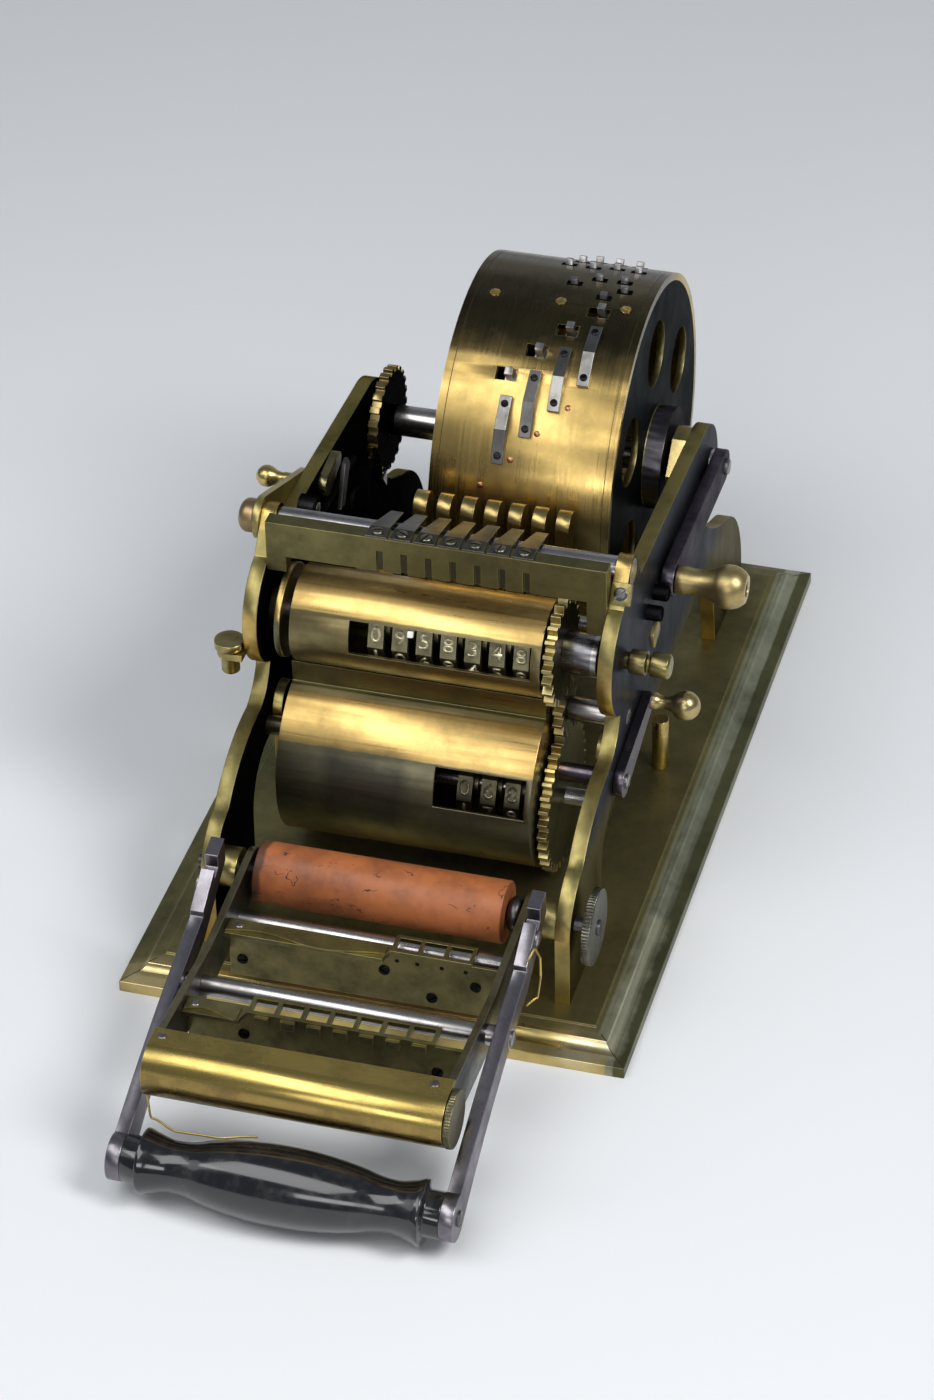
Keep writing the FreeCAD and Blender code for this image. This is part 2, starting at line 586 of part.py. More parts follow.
def make_cross_bar():
    """Cross bar on two legs, with a slot in its front above each figure wheel."""
    beam = block("beam", f"-{FRAME_IN}", "bar_front", BAR_BOTTOM, "frame_gap", "bar_depth",
                 "bar_height")
    left_leg = block("left_leg", f"-{FRAME_IN}", "bar_front", f"{BAR_BOTTOM} - left_leg_drop",
                     "bar_leg_width", "bar_depth", "left_leg_drop")
    right_leg = block("right_leg", f"{FRAME_IN} - bar_leg_width", "bar_front",
                      f"{BAR_BOTTOM} - right_leg_drop", "bar_leg_width", "bar_depth",
                      "right_leg_drop")
    slots = []
    for index in range(int(s.upper_wheel_count)):
        middle = wheel_x("upper_wheel_start", index)
        slots.append(block(f"bar_slot_{index + 1}", f"{middle} - bar_slot_width / 2",
                           "bar_front - 1", f"{BAR_BOTTOM} - 1", "bar_slot_width",
                           "bar_slot_depth + 1", "bar_height + 1 - bar_slot_drop"))
    node("cross_bar", cut("bar", join("bar_and_legs", beam, left_leg, right_leg), *slots))


def make_finger_springs():
    """Flat springs on the cross bar that narrow towards their tips behind the tie rod."""
    thick = s.spring_thickness
    root = (s.bar_front, s.bar_top)
    bend = (s.bar_front + s.bar_depth + s.seat_gap, s.bar_top)
    over = s.tie_radius + s.spring_gap
    run = math.dist(bend, (s.tie_y, s.tie_z))
    slope = math.degrees(math.atan2(s.tie_z - bend[1], s.tie_y - bend[0])
                         + math.asin(over / run))
    tip = on_circle(bend, math.sqrt(run ** 2 - over ** 2) + s.spring_reach, slope)
    path = [root, bend, tip, on_circle(tip, thick, slope + 90),
            on_circle(bend, thick, 90 + slope / 2), (root[0], root[1] + thick)]
    springs = []
    for index in range(int(s.upper_wheel_count)):
        middle = f"(carry_start + {index} * wheel_pitch)"
        strip = plate(f"spring_strip_{index + 1}", f"{middle} - spring_width / 2",
                      "spring_width", path)
        taper = doc.addObject("Part::Wedge", f"spring_taper_{index + 1}")
        bind(taper, Xmin="-spring_width / 2", Xmax="spring_width / 2", Zmin="0",
             Zmax="2 * tie_radius + bar_height", X2min="-spring_tip_width / 2",
             X2max="spring_tip_width / 2", Z2min="0", Z2max="2 * tie_radius + bar_height",
             Ymin="0", Ymax=tip[0] - root[0] + thick, Placement__Base__x=middle,
             Placement__Base__y="bar_front", Placement__Base__z=BAR_BOTTOM)
        springs.append(doc.addObject("Part::Common", f"spring_{index + 1}"))
        springs[-1].Base = strip
        springs[-1].Tool = taper
    node("finger_springs", group("springs", springs))


# ---------------------------------------------------------------- registers
def make_cover(side, z, shaft_z):
    """A round sheet cover with end caps bored for the shaft, and one long window."""
    axis = (s.register_y, number(z))
    left, radius = f"{side}_cover_left", f"{side}_cover_radius"
    window_left, window_right, top, bottom = (f"{side}_window_{edge}" for edge in
                                              ("left", "right", "top", "bottom"))
    shell = rod(f"{side}_shell", left, "cover_right", "register_y", z, radius)
    hollow = rod(f"{side}_hollow", f"{left} + cover_wall", "cover_right - cover_wall",
                 "register_y", z, f"{radius} - cover_wall")
    bore = rod(f"{side}_bore", f"{left} - 1", "cover_right + 1", "register_y", shaft_z,
               "shaft_radius + running_clearance")
    outer = getattr(s, radius)
    opening = plate(f"{side}_opening", window_left, f"{window_right} - {window_left}",
                    sector(axis, outer - 2 * s.cover_wall, outer + s.cover_wall,
                           getattr(s, top), getattr(s, bottom)))
    return cut(f"{side}_cover_shell", shell, hollow, bore, opening)


def make_covers():
    """Upper and lower covers, the strip that closes the gap between them, and the end ring."""
    node("upper_cover", make_cover("upper", UPPER_Z, UPPER_Z))
    body = make_cover("lower", "lower_cover_z", LOWER_Z)
    pin = rod("locating_pin", f"-{FRAME_OUT}", "lower_cover_left + cover_wall", "rocker_y",
              "rocker_z", "rocker_radius")
    apron_foot = ("(lower_cover_z - cover_wall / 2"
                  " + sqrt(lower_cover_radius^2 - (register_y - apron_y)^2))")
    apron_top = (f"({UPPER_Z} - seat_gap"
                 " - sqrt(upper_cover_radius^2 - (register_y - apron_y - cover_wall)^2))")
    apron = block("apron", "lower_cover_left", "apron_y", apron_foot,
                  "cover_right - lower_cover_left", "cover_wall", f"{apron_top} - {apron_foot}")
    node("lower_cover", join("lower_cover_and_pin", body, apron, pin))
    ring_right = "(upper_cover_left - end_ring_gap)"
    ring_left = f"({ring_right} - end_ring_width)"
    disc = rod("ring_disc", ring_left, ring_right, "register_y", UPPER_Z, "end_ring_radius")
    hub = rod("ring_hub", f"-{FRAME_IN}", ring_left, "register_y", UPPER_Z,
              "wheel_hub_radius + 2")
    bore = rod("ring_bore", f"-{FRAME_IN} - 1", "upper_cover_left", "register_y", UPPER_Z,
               "shaft_radius + running_clearance")
    node("register_end_ring", cut("end_ring", join("ring_and_hub", disc, hub), bore))


def make_figure_wheel(label, middle, z, figure_angle):
    """A ten-sided wheel with a rim, a web and a hub. One flat faces figure_angle."""
    centre = (s.register_y, number(z))
    step = 360 / int(s.wheel_faces)
    corners = [on_circle(centre, s.wheel_radius, figure_angle + step * (k + 0.5))
               for k in range(int(s.wheel_faces))]
    solid = plate(f"{label}_prism", f"{middle} - wheel_width / 2", "wheel_width", corners)
    recess = cut(f"{label}_recess",
                 rod(f"{label}_recess_outer", f"{middle} - wheel_width / 2 + wheel_web",
                     f"{middle} + wheel_width / 2 + 1", "register_y", z,
                     "wheel_radius - wheel_rim"),
                 rod(f"{label}_recess_inner", f"{middle} - wheel_width / 2",
                     f"{middle} + wheel_width / 2 + 2", "register_y", z, "wheel_hub_radius"))
    bore = rod(f"{label}_bore", f"{middle} - wheel_width", f"{middle} + wheel_width",
               "register_y", z, "shaft_radius + running_clearance")
    node(label, cut(f"{label}_wheel", solid, recess, bore))


def make_figure_wheels():
    for index in range(int(s.upper_wheel_count)):
        make_figure_wheel(f"upper_wheel_{index + 1}", wheel_x("upper_wheel_start", index),
                          UPPER_Z, s.upper_figure_angle)
    for index in range(int(s.lower_wheel_count)):
        make_figure_wheel(f"lower_wheel_{index + 1}", wheel_x("lower_wheel_start", index),
                          LOWER_Z, s.lower_figure_angle)


def make_gears():
    """Gear train between the registers: lower gear, idler pinion on its stud, upper gear."""
    lower = (s.register_y, number(LOWER_Z))
    idler = (number(IDLER_Y), number(IDLER_Z))
    upper = (s.register_y, number(UPPER_Z))
    to_idler = math.degrees(math.atan2(idler[1] - lower[1], idler[0] - lower[0]))
    to_upper = math.degrees(math.atan2(upper[1] - idler[1], upper[0] - idler[0]))
    idler_step = 360 / s.idler_teeth
    idler_tooth = to_idler + 180 + idler_step / 2
    past_tooth = (to_upper - idler_tooth) % idler_step
    upper_tooth = to_upper + 180 + past_tooth * s.idler_teeth / s.upper_teeth
    upper_tooth += 180 / s.upper_teeth
    for label, centre, z, y, teeth, angle, bore_radius in (
            ("lower_gear", lower, LOWER_Z, "register_y", s.lower_teeth, to_idler,
             "shaft_radius"),
            ("idler_gear", idler, IDLER_Z, IDLER_Y, s.idler_teeth, idler_tooth,
             "carry_shaft_radius + running_clearance"),
            ("upper_gear", upper, UPPER_Z, "register_y", s.upper_teeth, upper_tooth,
             "shaft_radius")):
        blank = plate(f"{label}_blank", "gear_left", "gear_width",
                      toothed(int(teeth), teeth * s.gear_module / 2, s.gear_module, centre,
                              angle))
        bore = rod(f"{label}_bore", "gear_left - 1", "gear_left + gear_width + 1", y, z,
                   bore_radius)
        node(label, cut(f"{label}_bored", blank, bore))
    stud = rod("idler_pin", "gear_left - side_clearance", FRAME_OUT, IDLER_Y, IDLER_Z,
               "carry_shaft_radius")
    shoulder = rod("idler_shoulder", "gear_left + gear_width + side_clearance", FRAME_IN,
                   IDLER_Y, IDLER_Z, "carry_shaft_radius + 2")
    node("idler_stud", join("idler_pin_and_shoulder", stud, shoulder))


def make_register_shafts():
    """Upper shaft with its collars and hub, and the plain lower shaft."""
    frame_out = number(FRAME_OUT)
    gear_end = s.gear_left + s.gear_width
    reach = frame_out + s.shaft_reach
    thin = s.shaft_radius
    thick = s.collar_radius
    hub = thick + 3.5
    profile = [(-frame_out, 0), (-frame_out, thin), (gear_end, thin), (gear_end, hub),
               (gear_end + 14, hub), (gear_end + 15, thin),
               (frame_out + 1.4, thin), (frame_out + 2.2, thick),
               (frame_out + 8.4, thick), (frame_out + 9, thin), (reach - 8, thin),
               (reach - 7.4, thick), (reach - 0.8, thick), (reach, thick - 1), (reach, 0)]
    node("register_shaft", turned("upper_shaft", profile, "register_y", UPPER_Z))
    node("lower_shaft", rod("lower_axle", f"-{FRAME_IN}", FRAME_IN, "register_y", LOWER_Z,
                            "shaft_radius"))


# ---------------------------------------------------------------- carry levers
def make_carry_levers():
    """Round-headed levers on one shaft behind the registers, one per finger spring."""
    pivot = (number(CARRY_Y), s.carry_z)
    head = (pivot[0] + s.carry_lean, s.carry_head_z)
    neck = (pivot[0] + (head[0] - pivot[0]) * 0.72, pivot[1] + (head[1] - pivot[1]) * 0.72)
    levers = []
    for index in range(int(s.upper_wheel_count)):
        left = f"carry_start + {index} * wheel_pitch - carry_width / 2"
        shank = plate(f"carry_shank_{index + 1}", left, "carry_width",
                      link(pivot, s.carry_boss_radius, neck, s.carry_head_radius * 0.55))
        knob = plate(f"carry_head_{index + 1}", left, "carry_width",
                     link(head, s.carry_head_radius, neck, s.carry_head_radius * 0.5))
        bore = rod(f"carry_bore_{index + 1}", f"{left} - 1", f"{left} + carry_width + 1",
                   CARRY_Y, "carry_z", "carry_shaft_radius + running_clearance")
        levers.append(cut(f"carry_lever_{index + 1}",
                          join(f"carry_solid_{index + 1}", shank, knob), bore))
    node("carry_levers", group("carry_set", levers))
    node("carry_shaft", rod("carry_axle", f"-{FRAME_OUT}", FRAME_OUT, CARRY_Y, "carry_z",
                            "carry_shaft_radius"))


# ---------------------------------------------------------------- drum
def row_angle(first, index):
    return first - index * s.row_step_angle


def make_drum():
    """Open drum with end discs, a hub, a shaft and the latch wheel beside it."""
    axis = (s.drum_y, s.drum_z)
    inside = s.drum_radius - s.drum_wall
    tube = rod("drum_tube", "drum_left", "drum_right", "drum_y", "drum_z", "drum_radius")
    hollow = rod("drum_hollow", "drum_left - 1", "drum_right + 1", "drum_y", "drum_z",
                 "drum_radius - drum_wall")
    half_slot = math.degrees(s.slot_width / 2 / s.drum_radius)
    slots = []
    for index in range(int(s.row_count)):
        middle = row_angle(s.setting_angle, index)
        slots.append(plate(f"drum_slot_{index + 1}",
                           f"setting_start + {index} * setting_pitch - slot_length / 2",
                           "slot_length",
                           sector(axis, inside - 2, s.drum_radius + 2, middle - half_slot,
                                  middle + half_slot)))
    node("drum_shell", cut("drum_body", tube, hollow, *slots))
    make_drum_disc("left_drum_disc", "drum_left", "drum_left + disc_thickness", None)
    make_drum_disc("right_drum_disc", "drum_right - disc_thickness", "drum_right",
                   "drum_right + hub_length")
    node("drum_shaft", rod("drum_axle", f"-{FRAME_OUT}", CRANK_LEFT, "drum_y", "drum_z",
                           "drum_shaft_radius"))
    make_latch_wheel(axis)
    make_cam_bars(axis)
    for index in range(int(s.row_count)):
        make_setting_lever(index, axis, inside)


def make_drum_disc(label, left, right, hub_end):
    """End disc of the drum, with round lightening holes and on the right a hub flange."""
    disc = rod(f"{label}_blank", left, right, "drum_y", "drum_z", "drum_radius - drum_wall")
    if hub_end:
        hub = rod(f"{label}_hub", right, hub_end, "drum_y", "drum_z", "hub_radius")
        disc = join(f"{label}_flanged", disc, hub)
    tools = [rod(f"{label}_bore", f"{left} - 1", f"{hub_end or right} + 1", "drum_y", "drum_z",
                 "drum_shaft_radius")]
    for index in range(int(s.disc_hole_count)):
        angle = f"(disc_hole_angle + {index} * 360 / disc_hole_count)"
        tools.append(rod(f"{label}_hole_{index + 1}", f"{left} - 1", f"{right} + 1",
                         f"drum_y + disc_hole_orbit * cos({angle})",
                         f"drum_z + disc_hole_orbit * sin({angle})", "disc_hole_radius"))
    node(label, cut(f"{label}_bored", disc, *tools))


def make_latch_wheel(axis):
    """Square-toothed wheel beside the left frame, on the drum shaft."""
    tip = s.latch_radius
    root = tip - s.latch_tooth_height
    step = 360 / s.latch_teeth
    path = []
    for tooth in range(int(s.latch_teeth)):
        start = step * tooth
        path += [on_circle(axis, root, start), on_circle(axis, tip, start),
                 on_circle(axis, tip, start + step * 0.5),
                 on_circle(axis, root, start + step * 0.5)]
    blank = plate("latch_blank", "latch_left", "latch_width", path)
    bore = rod("latch_bore", "latch_left - 1", "latch_left + latch_width + 1", "drum_y",
               "drum_z", "drum_shaft_radius")
    node("latch_wheel", cut("latch_bored", blank, bore))


def make_cam_bars(axis):
    """Curved bars on the drum, one before each setting slot, highest in their middle."""
    bars = []
    for index in range(int(s.row_count)):
        front = row_angle(s.cam_bar_angle, index)
        rear = front - s.cam_bar_span
        path = [on_circle(axis, s.drum_radius, rear),
                via(on_circle(axis, s.drum_radius, (front + rear) / 2)),
                on_circle(axis, s.drum_radius, front),
                on_circle(axis, s.drum_radius + s.cam_bar_end, front),
                on_circle(axis, s.drum_radius + s.cam_bar_ridge, (front + rear) / 2),
                on_circle(axis, s.drum_radius + s.cam_bar_end, rear)]
        bars.append(plate(f"cam_bar_{index + 1}",
                          f"cam_start + {index} * cam_pitch - cam_bar_width / 2",
                          "cam_bar_width", path))
    node("cam_bars", group("cam_set", bars))


def make_setting_lever(index, axis, inside):
    """A sliding tab: a stem through its slot on a foot that bears on the inside of the drum."""
    middle = row_angle(s.setting_angle, index)
    half_tab = math.degrees(s.tab_width / 2 / s.drum_radius)
    half_foot = math.degrees((s.slot_width / 2 + 1.6) / inside)
    under = inside - s.running_clearance
    centre = f"(setting_start + {index} * setting_pitch + tab_rest)"
    stem = plate(f"tab_stem_{index + 1}", f"{centre} - tab_length / 2", "tab_length",
                 sector(axis, under - s.tab_foot_thickness / 2, s.drum_radius + s.tab_height,
                        middle - half_tab, middle + half_tab))
    foot = plate(f"tab_foot_{index + 1}", f"{centre} - tab_length / 2 - tab_foot_margin",
                 "tab_length + 2 * tab_foot_margin",
                 sector(axis, under - s.tab_foot_thickness, under, middle - half_foot,
                        middle + half_foot))
    node(f"setting_lever_{index + 1}", join(f"tab_{index + 1}", stem, foot))


def make_bearing_block():
    """Brass bearing of the drum shaft on the right frame, its top sloping to the front."""
    rear = s.drum_y + s.bearing_rear
    front = s.drum_y - s.bearing_front
    top = s.drum_z + s.bearing_top
    bottom = s.drum_z - s.bearing_bottom
    path = [(front, bottom), (rear, bottom), (rear, top - s.drum_shaft_radius),
            (s.drum_y + s.drum_shaft_radius / 2, top), (s.drum_y - s.drum_shaft_radius, top),
            (front, s.drum_z + s.drum_shaft_radius / 2)]
    left = "(drum_right + hub_length + side_clearance + 1)"
    solid = plate("bearing_solid", left, f"{FRAME_IN} - {left}", path)
    bore = rod("bearing_bore", "drum_right", FRAME_OUT, "drum_y", "drum_z",
               "drum_shaft_radius + running_clearance")
    node("bearing_block", cut("bearing_bored", solid, bore))


def make_crank():
    """Flat crank with a stud, and the turned handle that spins on the stud."""
    axis = (s.drum_y, s.drum_z)
    end = (number(CRANK_END_Y), number(CRANK_END_Z))
    bar = plate("crank_bar", CRANK_LEFT, "crank_thickness",
                link(axis, s.crank_width / 2, end, s.crank_width / 2))
    stud = rod("crank_stud", CRANK_LEFT, f"{CRANK_RIGHT} + grip_length", CRANK_END_Y,
               CRANK_END_Z, "crank_stud_radius")
    node("crank_arm", join("crank_and_stud", bar, stud))
    long = s.grip_length
    collar = s.grip_collar_radius
    bore = s.crank_stud_radius + s.running_clearance
    middle = (long * 0.75, 0)
    ball_start = on_circle(middle, s.grip_radius, 124)
    ball_end = on_circle(middle, s.grip_radius, 45)
    profile = [(0, bore), (0, collar), (long * 0.11, collar),
               via((long * 0.31, collar * 0.93)), ball_start,
               via(on_circle(middle, s.grip_radius, 90)), ball_end,
               (long, ball_end[1] - (long - ball_end[0])), (long, bore)]
    node("crank_handle", turned("grip", profile, CRANK_END_Y, CRANK_END_Z,
                                f"{CRANK_RIGHT} + side_clearance"))


# ---------------------------------------------------------------- rubber roller
def make_rubber_roller():
    """Rubber roller on a shaft with a ball collar, its bushes and its knurled disc."""
    rubber = rod("rubber", "roller_left", "roller_right", "roller_y", "roller_z",
                 "roller_radius")
    core = rod("rubber_bore", "roller_left - 1", "roller_right + 1", "roller_y", "roller_z",
               "roller_shaft_radius")
    node("platen_roller", cut("rubber_tube", rubber, core))
    frame_out = number(FRAME_OUT)
    thin = s.roller_shaft_radius
    collar = s.roller_right
    knob_end = s.roller_knob_left + s.roller_knob_width
    profile = [(-frame_out - 3, 0), (-frame_out - 3, thin), (collar, thin),
               (collar + 0.6, thin + 1.6), via((collar + 3.4, thin + 4.2)),
               (collar + 6.2, thin + 1.6), (collar + 6.8, thin),
               (knob_end + 1, thin), (knob_end + 1, 0)]
    node("roller_shaft", turned("roller_axle", profile, "roller_y", "roller_z"))
    bushes = []
    for side, left, right in (("left", f"-{FRAME_IN}", f"-{FRAME_IN} + bush_length"),
                              ("right", f"{FRAME_IN} - bush_length", FRAME_IN)):
        solid = rod(f"{side}_bush_solid", left, right, "roller_y", "roller_z", "bush_radius")
        bore = rod(f"{side}_bush_bore", f"{left} - 1", f"{right} + 1", "roller_y", "roller_z",
                   "roller_shaft_radius + running_clearance")
        bushes.append(cut(f"{side}_bush", solid, bore))
    node("roller_bushes", group("bush_pair", bushes))
    wide = s.roller_knob_width
    rim = s.roller_knob_radius
    disc = [(0, thin), (0, rim - 0.8), (0.8, rim), (wide - 0.8, rim), (wide, rim - 0.8),
            (wide, thin)]
    node("roller_knob", turned("roller_disc", disc, "roller_y", "roller_z",
                               "roller_knob_left"))


# ---------------------------------------------------------------- swing frame
def make_swing_plates():
    """Two inner side plates: round at the roller axis, round at the feed roller axis."""
    pivot = (s.roller_y, s.roller_z)
    feed = (s.feed_y, s.feed_z)
    nose = s.guard_radius - s.guard_wall
    path = [on_circle(pivot, s.plate_boss, 90), (pivot[0] - 53, pivot[1] + 4.5),
            (feed[0] + 8, feed[1] + nose), on_circle(feed, nose, 90),
            via(on_circle(feed, nose, 180)), on_circle(feed, nose, 270),
            (pivot[0] - 53, pivot[1] - 14.5), on_circle(pivot, s.plate_boss, 270),
            via(on_circle(pivot, s.plate_boss, 0))]
    plates = []
    for side, left in (("left", "-(plate_inner + plate_thickness)"), ("right", "plate_inner")):
        solid = plate(f"{side}_swing_solid", left, "plate_thickness", path)
        drills = [rod(f"{side}_swing_{name}", f"{left} - 1", f"{left} + plate_thickness + 1", y,
                      z, radius)
                  for name, y, z, radius in (
                      ("pivot", "roller_y", "roller_z",
                       "roller_shaft_radius + running_clearance"),
                      ("rear_rod", "rear_rod_y", "rear_rod_z", "rod_radius"),
                      ("front_rod", "front_rod_y", "front_rod_z", "rod_radius"),
                      ("feed", "feed_y", "feed_z", "feed_shaft_radius + running_clearance"))]
        plates.append(cut(f"{side}_swing_plate", solid, *drills))
    node("swing_side_plates", group("swing_plate_pair", plates))
    rods = [rod("rear_rod", "-(plate_inner + plate_thickness)", "plate_inner + plate_thickness",
                "rear_rod_y", "rear_rod_z", "rod_radius"),
            rod("front_rod", "-(arm_inner + arm_thickness)", "arm_inner + arm_thickness",
                "front_rod_y", "front_rod_z", "rod_radius")]
    node("swing_rods", group("swing_rod_pair", rods))


def arm_outline():
    """A handle arm: a tall stepped rear end, a bowed top edge and a round front end."""
    rear = s.front_foot_y - 5
    rod_y = s.front_rod_y
    head = s.front_rod_z + s.arm_head
    step = s.arm_step
    notch = rear - s.arm_head_depth
    shoulder = rear - s.arm_shoulder
    low = head - s.arm_depth
    end = (s.handle_y, s.handle_z)
    radius = s.arm_end_radius
    return [(rear, low), (rear, head), (notch, head - step / 2),
            (notch, head - step * 1.7), (notch - step, head - step * 2.1),
            (notch - step, head - step * 1.2), (shoulder, head - step * 3.2),
            (shoulder, head - step * 3.7), via((rod_y - 2 * radius, s.front_rod_z + step / 2)),
            on_circle(end, radius, 62), via(on_circle(end, radius, 155)),
            on_circle(end, radius, 292),
            via((rod_y - 2 * radius, s.front_rod_z + step / 2 - s.arm_depth)),
            (shoulder, head - step * 3.7 - s.arm_depth)]


def make_swing_arms():
    """Outer arms, and the turned handle between their front ends."""
    for side, left in (("left", "-(arm_inner + arm_thickness)"), ("right", "arm_inner")):
        solid = plate(f"{side}_arm_solid", left, "arm_thickness", arm_outline())
        hole = rod(f"{side}_arm_hole", f"{left} - 1", f"{left} + arm_thickness + 1",
                   "front_rod_y", "front_rod_z", "rod_radius")
        node(f"{side}_swing_arm", cut(f"{side}_arm", solid, hole))
    half = s.arm_inner
    end = s.handle_end_radius
    flange = s.handle_flange_radius
    outer = half - s.handle_flange_inset
    inner = outer - s.seat_gap * 4
    neck = half - s.handle_neck_inset
    bulge = s.handle_bulge_half
    waist = (neck + bulge) / 2
    thick = (s.handle_neck_radius * 2 + s.handle_radius) / 3
    right = [(bulge, thick), via((waist, s.handle_neck_radius + s.seat_gap)),
             (neck, s.handle_neck_radius), via(((neck + inner) / 2, flange - 1.6)),
             (inner, flange), (outer, flange), (outer + 1, end), (half, end), (half, 0)]
    left = [("via", -e[1], e[2]) if e[0] == "via" else (-e[0], e[1]) for e in reversed(right)]
    node("swing_handle", turned("wooden_handle", left + [via((0, s.handle_radius))] + right,
                                "handle_y", "handle_z"))


def make_comb(side, count, toothed_edge):
    """An upright sheet between the side plates, under a flat top with a row of windows."""
    front, top, drop, start = (getattr(s, f"{side}_comb_{size}")
                               for size in ("y", "z", "drop", "start"))
    half = s.plate_inner
    first = start - (s.comb_pitch + s.comb_rib) / 2
    last = first + count * s.comb_pitch + s.comb_rib
    back = front - s.comb_overhang + s.comb_strip
    outline = [(-half, front - s.comb_overhang), (first - s.comb_rib, front - s.comb_overhang),
               via((first - s.comb_rib / 2, front - s.comb_overhang / 3)), (first, front),
               (last, front), (last, front + s.comb_depth), (first, front + s.comb_depth),
               (first, back), (-half, back)]
    windows = []
    for index in range(count):
        left = first + s.comb_rib + index * s.comb_pitch
        windows.append(rectangle(left, left + s.comb_pitch - s.comb_rib, front + s.comb_rib,
                                 front + s.comb_depth - s.comb_rib))
    ladder = flat(f"{side}_comb_top", f"{side}_comb_z - comb_top", "comb_top", outline, *windows)
    upright_sheet = block(f"{side}_comb_sheet", "-plate_inner", f"{side}_comb_y",
                          f"{side}_comb_z - {side}_comb_drop", "2 * plate_inner", "comb_wall",
                          f"{side}_comb_drop - comb_top / 2")
    teeth = []
    if toothed_edge:
        for index in range(count):
            left = f"{side}_comb_start + {index} * comb_pitch - comb_tooth / 2"
            teeth.append(block(f"{side}_comb_tooth_{index + 1}", left,
                               f"{side}_comb_y - comb_wall",
                               f"{side}_comb_z - comb_top - comb_tooth / 2", "comb_tooth",
                               "2 * comb_wall", "comb_tooth / 2 + comb_top / 2"))
    node(f"{side}_comb_plate", join(f"{side}_comb", ladder, upright_sheet, *teeth))


def make_combs():
    make_comb("short", int(s.lower_wheel_count), False)
    make_comb("long", int(s.upper_wheel_count), True)


def make_round_guard():
    """Rolled sheet round the feed roller, and the feed roller with its knurled knob."""
    feed = (s.feed_y, s.feed_z)
    outer = s.guard_radius
    inner = outer - s.guard_wall
    end = s.guard_end_angle
    middle = (90 + end) / 2
    path = [(feed[0] + s.guard_lip, feed[1] + inner), on_circle(feed, inner, 90),
            via(on_circle(feed, inner, middle)), on_circle(feed, inner, end),
            on_circle(feed, outer, end), via(on_circle(feed, outer, middle)),
            on_circle(feed, outer, 90), (feed[0] + s.guard_lip, feed[1] + outer)]
    node("round_guard", plate("guard", "-(plate_inner + plate_thickness)",
                              "2 * (plate_inner + plate_thickness)", path))
    shaft = s.feed_shaft_radius
    roller_end = s.plate_inner - s.side_clearance
    plate_end = s.plate_inner + s.plate_thickness
    knob_start = plate_end + s.side_clearance
    knob_end = knob_start + s.feed_knob_width
    profile = [(-plate_end, 0), (-plate_end, shaft), (-roller_end, shaft),
               (-roller_end, s.feed_roller_radius), (roller_end, s.feed_roller_radius),
               (roller_end, shaft), (knob_start, shaft), (knob_start, s.feed_knob_radius),
               (knob_end, s.feed_knob_radius), (knob_end, 0)]
    node("feed_knob", turned("feed_roller", profile, "feed_y", "feed_z"))


# ---------------------------------------------------------------- levers and thumb screw
def pear_grip(name, side, reach, radius, neck, y, z, x):
    """A grip turned about X: a collar, a waisted neck and a ball. side is 1 for one to the right."""
    ball_start = on_circle((reach, 0), radius, 128)
    collar = reach * 0.12
    profile = [(0, 0), (0, neck * 1.2), (collar, neck * 1.2),
               via(((ball_start[0] + collar) / 2, neck * 0.9)), ball_start,
               via(on_circle((reach, 0), radius, 64)), (reach + radius, 0)]
    return turned(name, [(e[0], side * e[1], e[2]) if e[0] == "via" else (side * e[0], e[1])
                         for e in profile], y, z, x)


def make_rocker_lever():
    """Right lever: a shaft in the frame and an arm outside it that ends in a ball."""
    pivot = (s.rocker_y, s.rocker_z)
    end = (s.rocker_ball_y, s.rocker_ball_z)
    arm_left = f"({FRAME_OUT} + side_clearance)"
    arm = plate("rocker_arm", arm_left, "rocker_thickness",
                link(pivot, s.rocker_radius * 1.67, end, s.rocker_neck_radius * 1.25))
    shaft = rod("rocker_shaft", "rocker_left", f"{arm_left} + 1", "rocker_y", "rocker_z",
                "rocker_radius")
    grip = pear_grip("rocker_grip", 1, s.rocker_reach, s.rocker_grip_radius,
                     s.rocker_neck_radius, "rocker_ball_y", "rocker_ball_z",
                     f"{arm_left} + rocker_thickness")
    node("right_ball_lever", join("rocker", shaft, arm, grip))


def make_release_lever():
    """Left lever: a bracket on the frame, a shaft with a pear grip outside and a crank inside."""
    axis = (s.release_y, s.release_z)
    solid = plate("bracket_solid", f"-{BRACKET_OUT}", "bracket_thickness",
                  link((s.tie_y, s.tie_z), s.bracket_eye_radius, axis, s.bracket_end_radius))
    holes = [rod("bracket_tie_hole", f"-{BRACKET_OUT} - 1", f"-{FRAME_OUT} + 1", "tie_y",
                 "tie_z", "tie_radius + running_clearance"),
             rod("bracket_release_hole", f"-{BRACKET_OUT} - 1", f"-{FRAME_OUT} + 1",
                 "release_y", "release_z", "release_radius + running_clearance")]
    node("lever_bracket", cut("bracket", solid, *holes))
    inner_left = f"(-{FRAME_IN} + side_clearance)"
    shaft = rod("release_shaft", f"-{BRACKET_OUT} - release_reach / 2",
                f"{inner_left} + release_crank_thickness", "release_y", "release_z",
                "release_radius")
    crank = plate("release_crank", inner_left, "release_crank_thickness",
                  link(axis, s.release_radius * 1.9, on_circle(axis, s.release_crank, 12),
                       s.release_radius * 1.3))
    grip = pear_grip("release_grip", -1, s.release_reach, s.release_ball_radius,
                     s.release_neck_radius, "release_y", "release_z",
                     f"-{BRACKET_OUT} - side_clearance")
    node("left_ball_lever", join("release", shaft, crank, grip))


